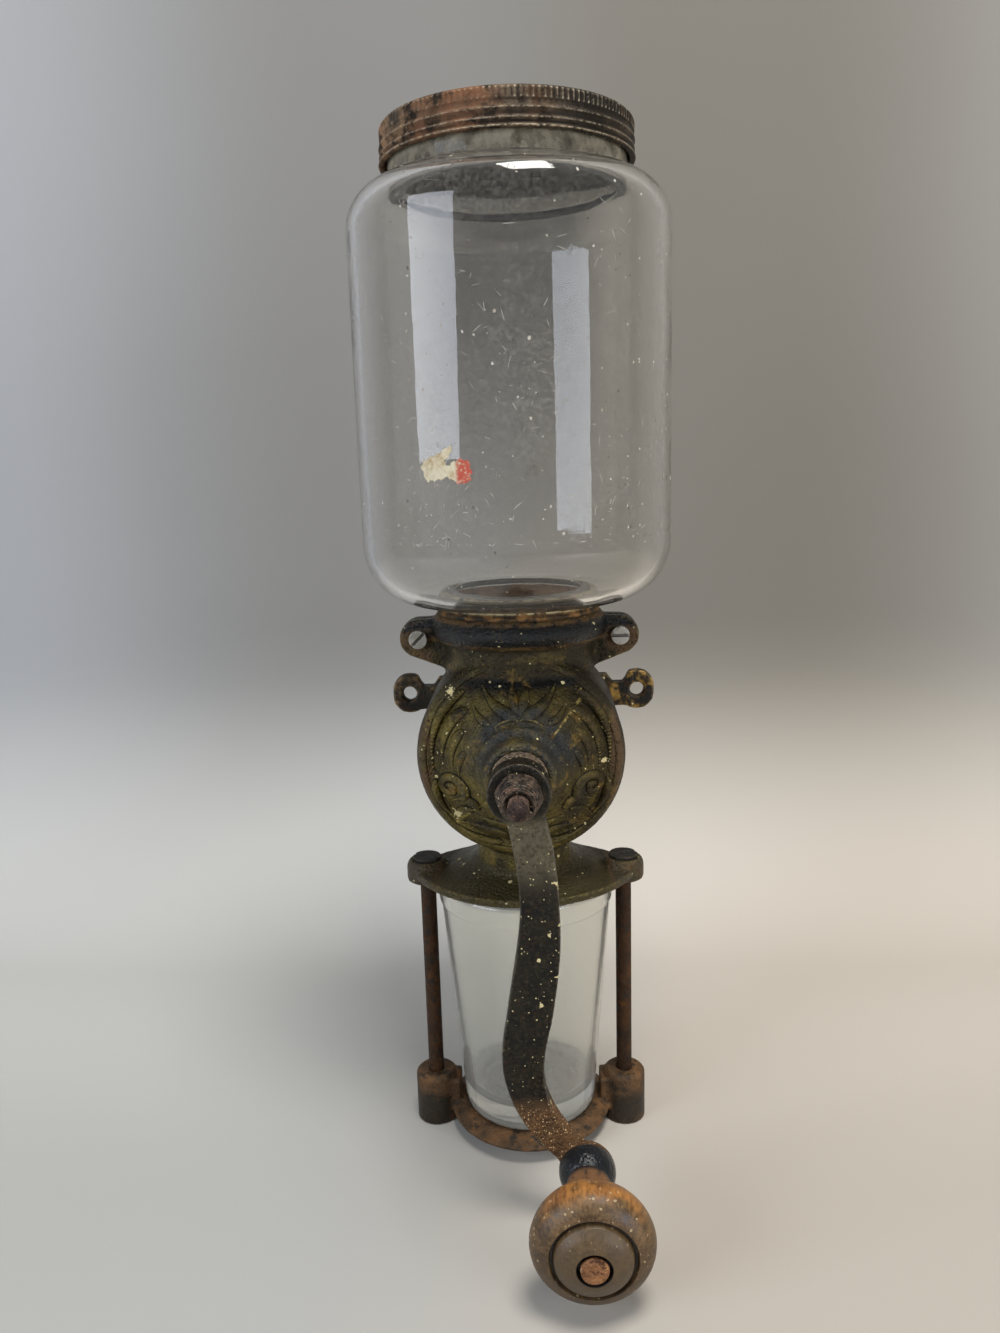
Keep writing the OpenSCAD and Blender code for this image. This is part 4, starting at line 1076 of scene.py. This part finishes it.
def make_rivet():
    """Spindle of the knob: plain pin with a hammered round head."""
    rear, front, head = lying("knob_spindle")

    def hammered(radius, height, angle):
        """Head dented by two waves round it."""
        dents = 0.08 * np.sin(3 * angle + 1) + 0.05 * np.sin(5 * angle)
        return np.where(radius > 4.3, radius + dents - 0.14, radius), height

    outline = rounded([(0, rear, 0), (4, rear, 0), (4, front - 2.2, 0), (head - 0.1, front - 2.2, 0.2),
                       (head, front - 1.0, 0.5), (head - 1.2, front - 0.25, 0.8), (head * 0.45, front, 0.8),
                       (0, front - 0.05, 0)])
    turned_piece("knob_spindle_rivet", outline, KNOB_AXIS, RUSTED_COPPER, "crank", ("knob_spindle",), 50, axis="Y",
                 columns=72, change=hammered)


# Cup and springs


def make_cup():
    """Cup: tapered wall with a band under the rim, thick foot, turned about the cup axis."""
    low, top, rim = upright("catch_cup")
    foot = 30.0
    height = top - low
    rake = (rim - 0.8 - foot) / height
    band = foot + rake * (height - 10)
    outside = [(0, low + 1.2, 0), (foot - 8, low + 1.0, 2), (foot - 5, low, 1), (foot - 1.2, low, 1.2),
               (foot, low + 1.8, 1.2), (band, top - 10, 0.5), (band + 0.7, top - 9.2, 0.6), (rim, top - 1.4, 1.0),
               (rim - 0.9, top, 0.7)]
    inside = [(rim - 2.4, top, 0.7), (rim - 3.2, top - 1.4, 0.9), (foot + rake * 9 - 2.4, low + 13, 4),
              (foot - 7, low + 9, 4), (0, low + 8.4, 0)]
    turned_piece("catch_cup_glass", rounded(outside + inside, steps=8), JAR_AXIS, CUP_GLASS, "cup", ("catch_cup",), 80)


def make_cup_dust():
    """Coffee dust: a shallow dish just above the cup's inner floor."""
    low, edge, floor = upright("catch_cup")[0], 23.5, 8.65
    reach = np.linspace(0.0, edge, 16)
    outline = np.stack([reach, low + floor + (reach / edge) ** 4], axis=-1)
    turned_piece("cup_coffee_dust", outline, JAR_AXIS, COFFEE_DUST, "cup", angle=80, sheet=True, columns=96)


def make_spring(name, node):
    """Coil spring, which the holder squashes as it comes down: a round wire carried along a helix of even turns."""
    low, high = low_high(node)
    centre = (low + high) / 2
    wire, turns = 0.65, 5
    coil = (high[0] - low[0]) / 2 - wire
    t = np.linspace(0, 1, turns * 32 + 1)[:, None]
    around = np.linspace(0, TAU, 10, endpoint=False)[None, :]
    angle = TAU * turns * t
    height = low[2] + wire + (high[2] - low[2] - 2 * wire) * t
    reach = coil + wire * np.cos(around)
    points = np.stack([centre[0] + reach * np.cos(angle), centre[1] + reach * np.sin(angle),
                       height + wire * np.sin(around) + 0 * angle], axis=-1)
    mesh = grid_mesh(name, points)
    mesh_ends(mesh, points.shape[0], points.shape[1])
    piece = finish_piece(name, mesh, DARK_STEEL, "mill_body", (node,), 60)
    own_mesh(piece)


def mesh_ends(mesh, rows, columns):
    """Closes the two ends of a tube with one face each."""
    with edited(mesh) as shape:
        shape.verts.ensure_lookup_table()
        for first in (0, (rows - 1) * columns):
            shape.faces.new([shape.verts[first + i] for i in range(columns)])


for make_piece in (make_jar, make_jar_film, make_label_scrap, make_jar_dust, make_outlet_grounds, make_lid, make_ring,
                   make_drum_face, make_sleeve, make_shaft, make_nut, make_knob, make_rivet, make_cup, make_cup_dust):
    make_piece()
make_spring("left_coil", "left_spring")
make_spring("right_coil", "right_spring")
cast_copy("front_casing", CASING_IRON, 1.0, 5, "mill_body", beaded_collar)
cast_copy("collar_clamp", CASING_IRON, 0.8, 4, "mill_body")
cast_copy("back_bracket", BRACKET_IRON, 1.0, 4, "mill_body", waisted_ears)
cast_copy("crank_arm", BLACK_IRON, 0.6, 8, "crank", round_ball)
cast_copy("cup_holder", RUSTED_IRON, 0.7, 5, "holder")
cast_copy("clamp_screws", BARE_STEEL, 0.25, 2, "mill_body")
cast_copy("left_rod", ROD_IRON, 0.35, 2, "mill_body")
cast_copy("right_rod", ROD_IRON, 0.35, 2, "mill_body")

# Finishes of the solids that stay as they are
KEPT_SOLIDS = {"lid_liner": LINER_CARD, "bracket_screws": BARE_STEEL, "ring_burr": BURR_IRON,
               "ring_burr_screws": BARE_STEEL, "cone_burr": BURR_IRON, "feed_worm": BURR_IRON,
               "drive_pin": DARK_STEEL, "rear_bush": BUSH_BRASS, "thrust_ring": BUSH_BRASS, "rod_nuts": RUSTED_IRON}
for node_name, finish in KEPT_SOLIDS.items():
    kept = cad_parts[node_name]
    kept.data.materials.clear()
    kept.data.materials.append(finish)

# Studio


def make_sweep():
    """Pale paper sweep, with the object's shadow painted on its wall: floor under the object that curves up behind it,
    left out when seen from its back.
    """
    made, tree, shader, where = new_material("studio_paper", Roughness=0.9)
    along = axes_of(tree, where)
    # Painted shadow of the object on the wall: darker behind it and to its right, paler at both ends.
    # The floor changes colour from left to right and from near to far; places in metres
    wall = mixed(tree, window(tree, along["X"], -0.38, -0.12), srgb(158, 159, 161), srgb(126, 125, 122))
    wall = mixed(tree, window(tree, along["X"], -0.06, 0.1), wall, srgb(117, 113, 105))
    wall = mixed(tree, window(tree, along["X"], 0.18, 0.45), wall, srgb(152, 151, 147))
    near = mixed(tree, window(tree, along["X"], -0.1, 0.08), srgb(173, 173, 169), srgb(184, 177, 166))
    far = mixed(tree, window(tree, along["X"], -0.1, 0.08), srgb(188, 188, 184), srgb(199, 192, 181))
    ground = mixed(tree, window(tree, along["Y"], -0.13, 0.03), near, far)
    colour = mixed(tree, window(tree, along["Z"], FLOOR_Z * MM, FLOOR_Z * MM + 0.2), ground, wall)
    wire(tree, shader, Base_Color=colour)
    behind = times(tree, add(tree, "ShaderNodeNewGeometry").outputs["Backfacing"], seen_ray(tree))
    clear = add(tree, "ShaderNodeBsdfTransparent").outputs[0]
    either = add(tree, "ShaderNodeMixShader", {0: behind, 1: shader.outputs[0], 2: clear})
    tree.links.new(either.outputs[0], tree.nodes["Material Output"].inputs["Surface"])
    turn_y, turn_r, front, top, half = 70.0, 150.0, -1600.0, 1700.0, 4800.0
    bend = np.radians(np.linspace(-90, 0, 24))
    way = [(front, 0.0)] + [(turn_y + turn_r * math.cos(a), turn_r + turn_r * math.sin(a)) for a in bend]
    way = np.array(way + [(turn_y + turn_r, top)])
    side = np.array([-half, half])
    points = np.stack([np.repeat(side[None, :], len(way), 0), np.repeat(way[:, :1], 2, 1),
                       FLOOR_Z + np.repeat(way[:, 1:], 2, 1)], axis=-1)
    mesh = grid_mesh("studio_sweep", points, wrap_columns=False)
    mesh.polygons.foreach_set("use_smooth", np.ones(len(mesh.polygons), bool))
    mesh.materials.append(made)
    sweep = bpy.data.objects.new("studio_sweep", mesh)
    bpy.context.scene.collection.objects.link(sweep)


def make_lamp(name, place, aim, size, power, colour):
    """Rectangular soft lamp at a place, facing a point, that isn't seen itself; sizes and places in millimetres."""
    data = bpy.data.lights.new(name, "AREA")
    data.shape = "RECTANGLE"
    data.size, data.size_y = size[0] * MM, size[1] * MM
    data.energy = power
    data.color = colour
    lamp = bpy.data.objects.new(name, data)
    lamp.location = Vector(place) * MM
    lamp.rotation_euler = (Vector(aim) - Vector(place)).to_track_quat("-Z", "Y").to_euler()
    lamp.visible_camera = False
    lamp.visible_transmission = False
    bpy.context.scene.collection.objects.link(lamp)
    return lamp


def make_studio():
    """A window on each side, a top lamp, a fill from the right that leaves no reflection, and a dim even sky."""
    make_sweep()
    middle = (0.0, AXIS_Y, 60.0)
    make_lamp("left_window", (-1010, -862, 379), middle, (766, 608), 10.4, (0.82, 0.88, 1.0))
    make_lamp("right_window", (893, -1065, 196), middle, (610, 542), 6.6, (0.82, 0.88, 1.0))
    make_lamp("top_lamp", (230, -520, 1500), middle, (560, 480), 21.0, (1.0, 0.965, 0.91))
    fill = make_lamp("right_fill", (1250, -760, 240), middle, (700, 700), 5.6, (1.0, 0.95, 0.87))
    fill.visible_glossy = False
    world = bpy.data.worlds.new("even_sky")
    bpy.context.scene.world = world
    world.use_nodes = True
    tree = world.node_tree
    sky = tree.nodes["Background"]
    sky.inputs["Color"].default_value = srgb(214, 215, 218)
    wire(tree, sky, Strength=mixed_value(tree, seen_ray(tree), 0.2, 0.48))


# Camera: place in millimetres and turns in degrees, from a fit of the jar, rods, drum and wall holes
EYE = (8.5, -489.5, 112.3)
PITCH_DOWN, YAW_LEFT, ROLL = 11.6, 2.31, -1.71
FOCAL_PIXELS, FRAME_HEIGHT = 1000.0, 1333.0


def make_camera():
    """Camera matrix from its right, up and view directions."""
    pitch, yaw, roll = math.radians(PITCH_DOWN), math.radians(YAW_LEFT), math.radians(ROLL)
    view = Vector((-math.sin(yaw) * math.cos(pitch), math.cos(yaw) * math.cos(pitch), -math.sin(pitch)))
    level = view.cross(Vector((0, 0, 1))).normalized()
    upright = level.cross(view)
    right = math.cos(roll) * level + math.sin(roll) * upright
    up = math.cos(roll) * upright - math.sin(roll) * level
    data = bpy.data.cameras.new("photo_camera")
    data.sensor_fit = "VERTICAL"
    data.sensor_height = 36.0
    data.lens = 36.0 * FOCAL_PIXELS / FRAME_HEIGHT
    data.clip_start = 0.01
    camera = bpy.data.objects.new("photo_camera", data)
    columns = Matrix((right, up, -view)).transposed().to_4x4()
    camera.matrix_world = Matrix.Translation(Vector(EYE) * MM) @ columns
    bpy.context.scene.collection.objects.link(camera)
    bpy.context.scene.camera = camera


make_studio()
make_camera()
bpy.context.scene.view_settings.view_transform = "Standard"
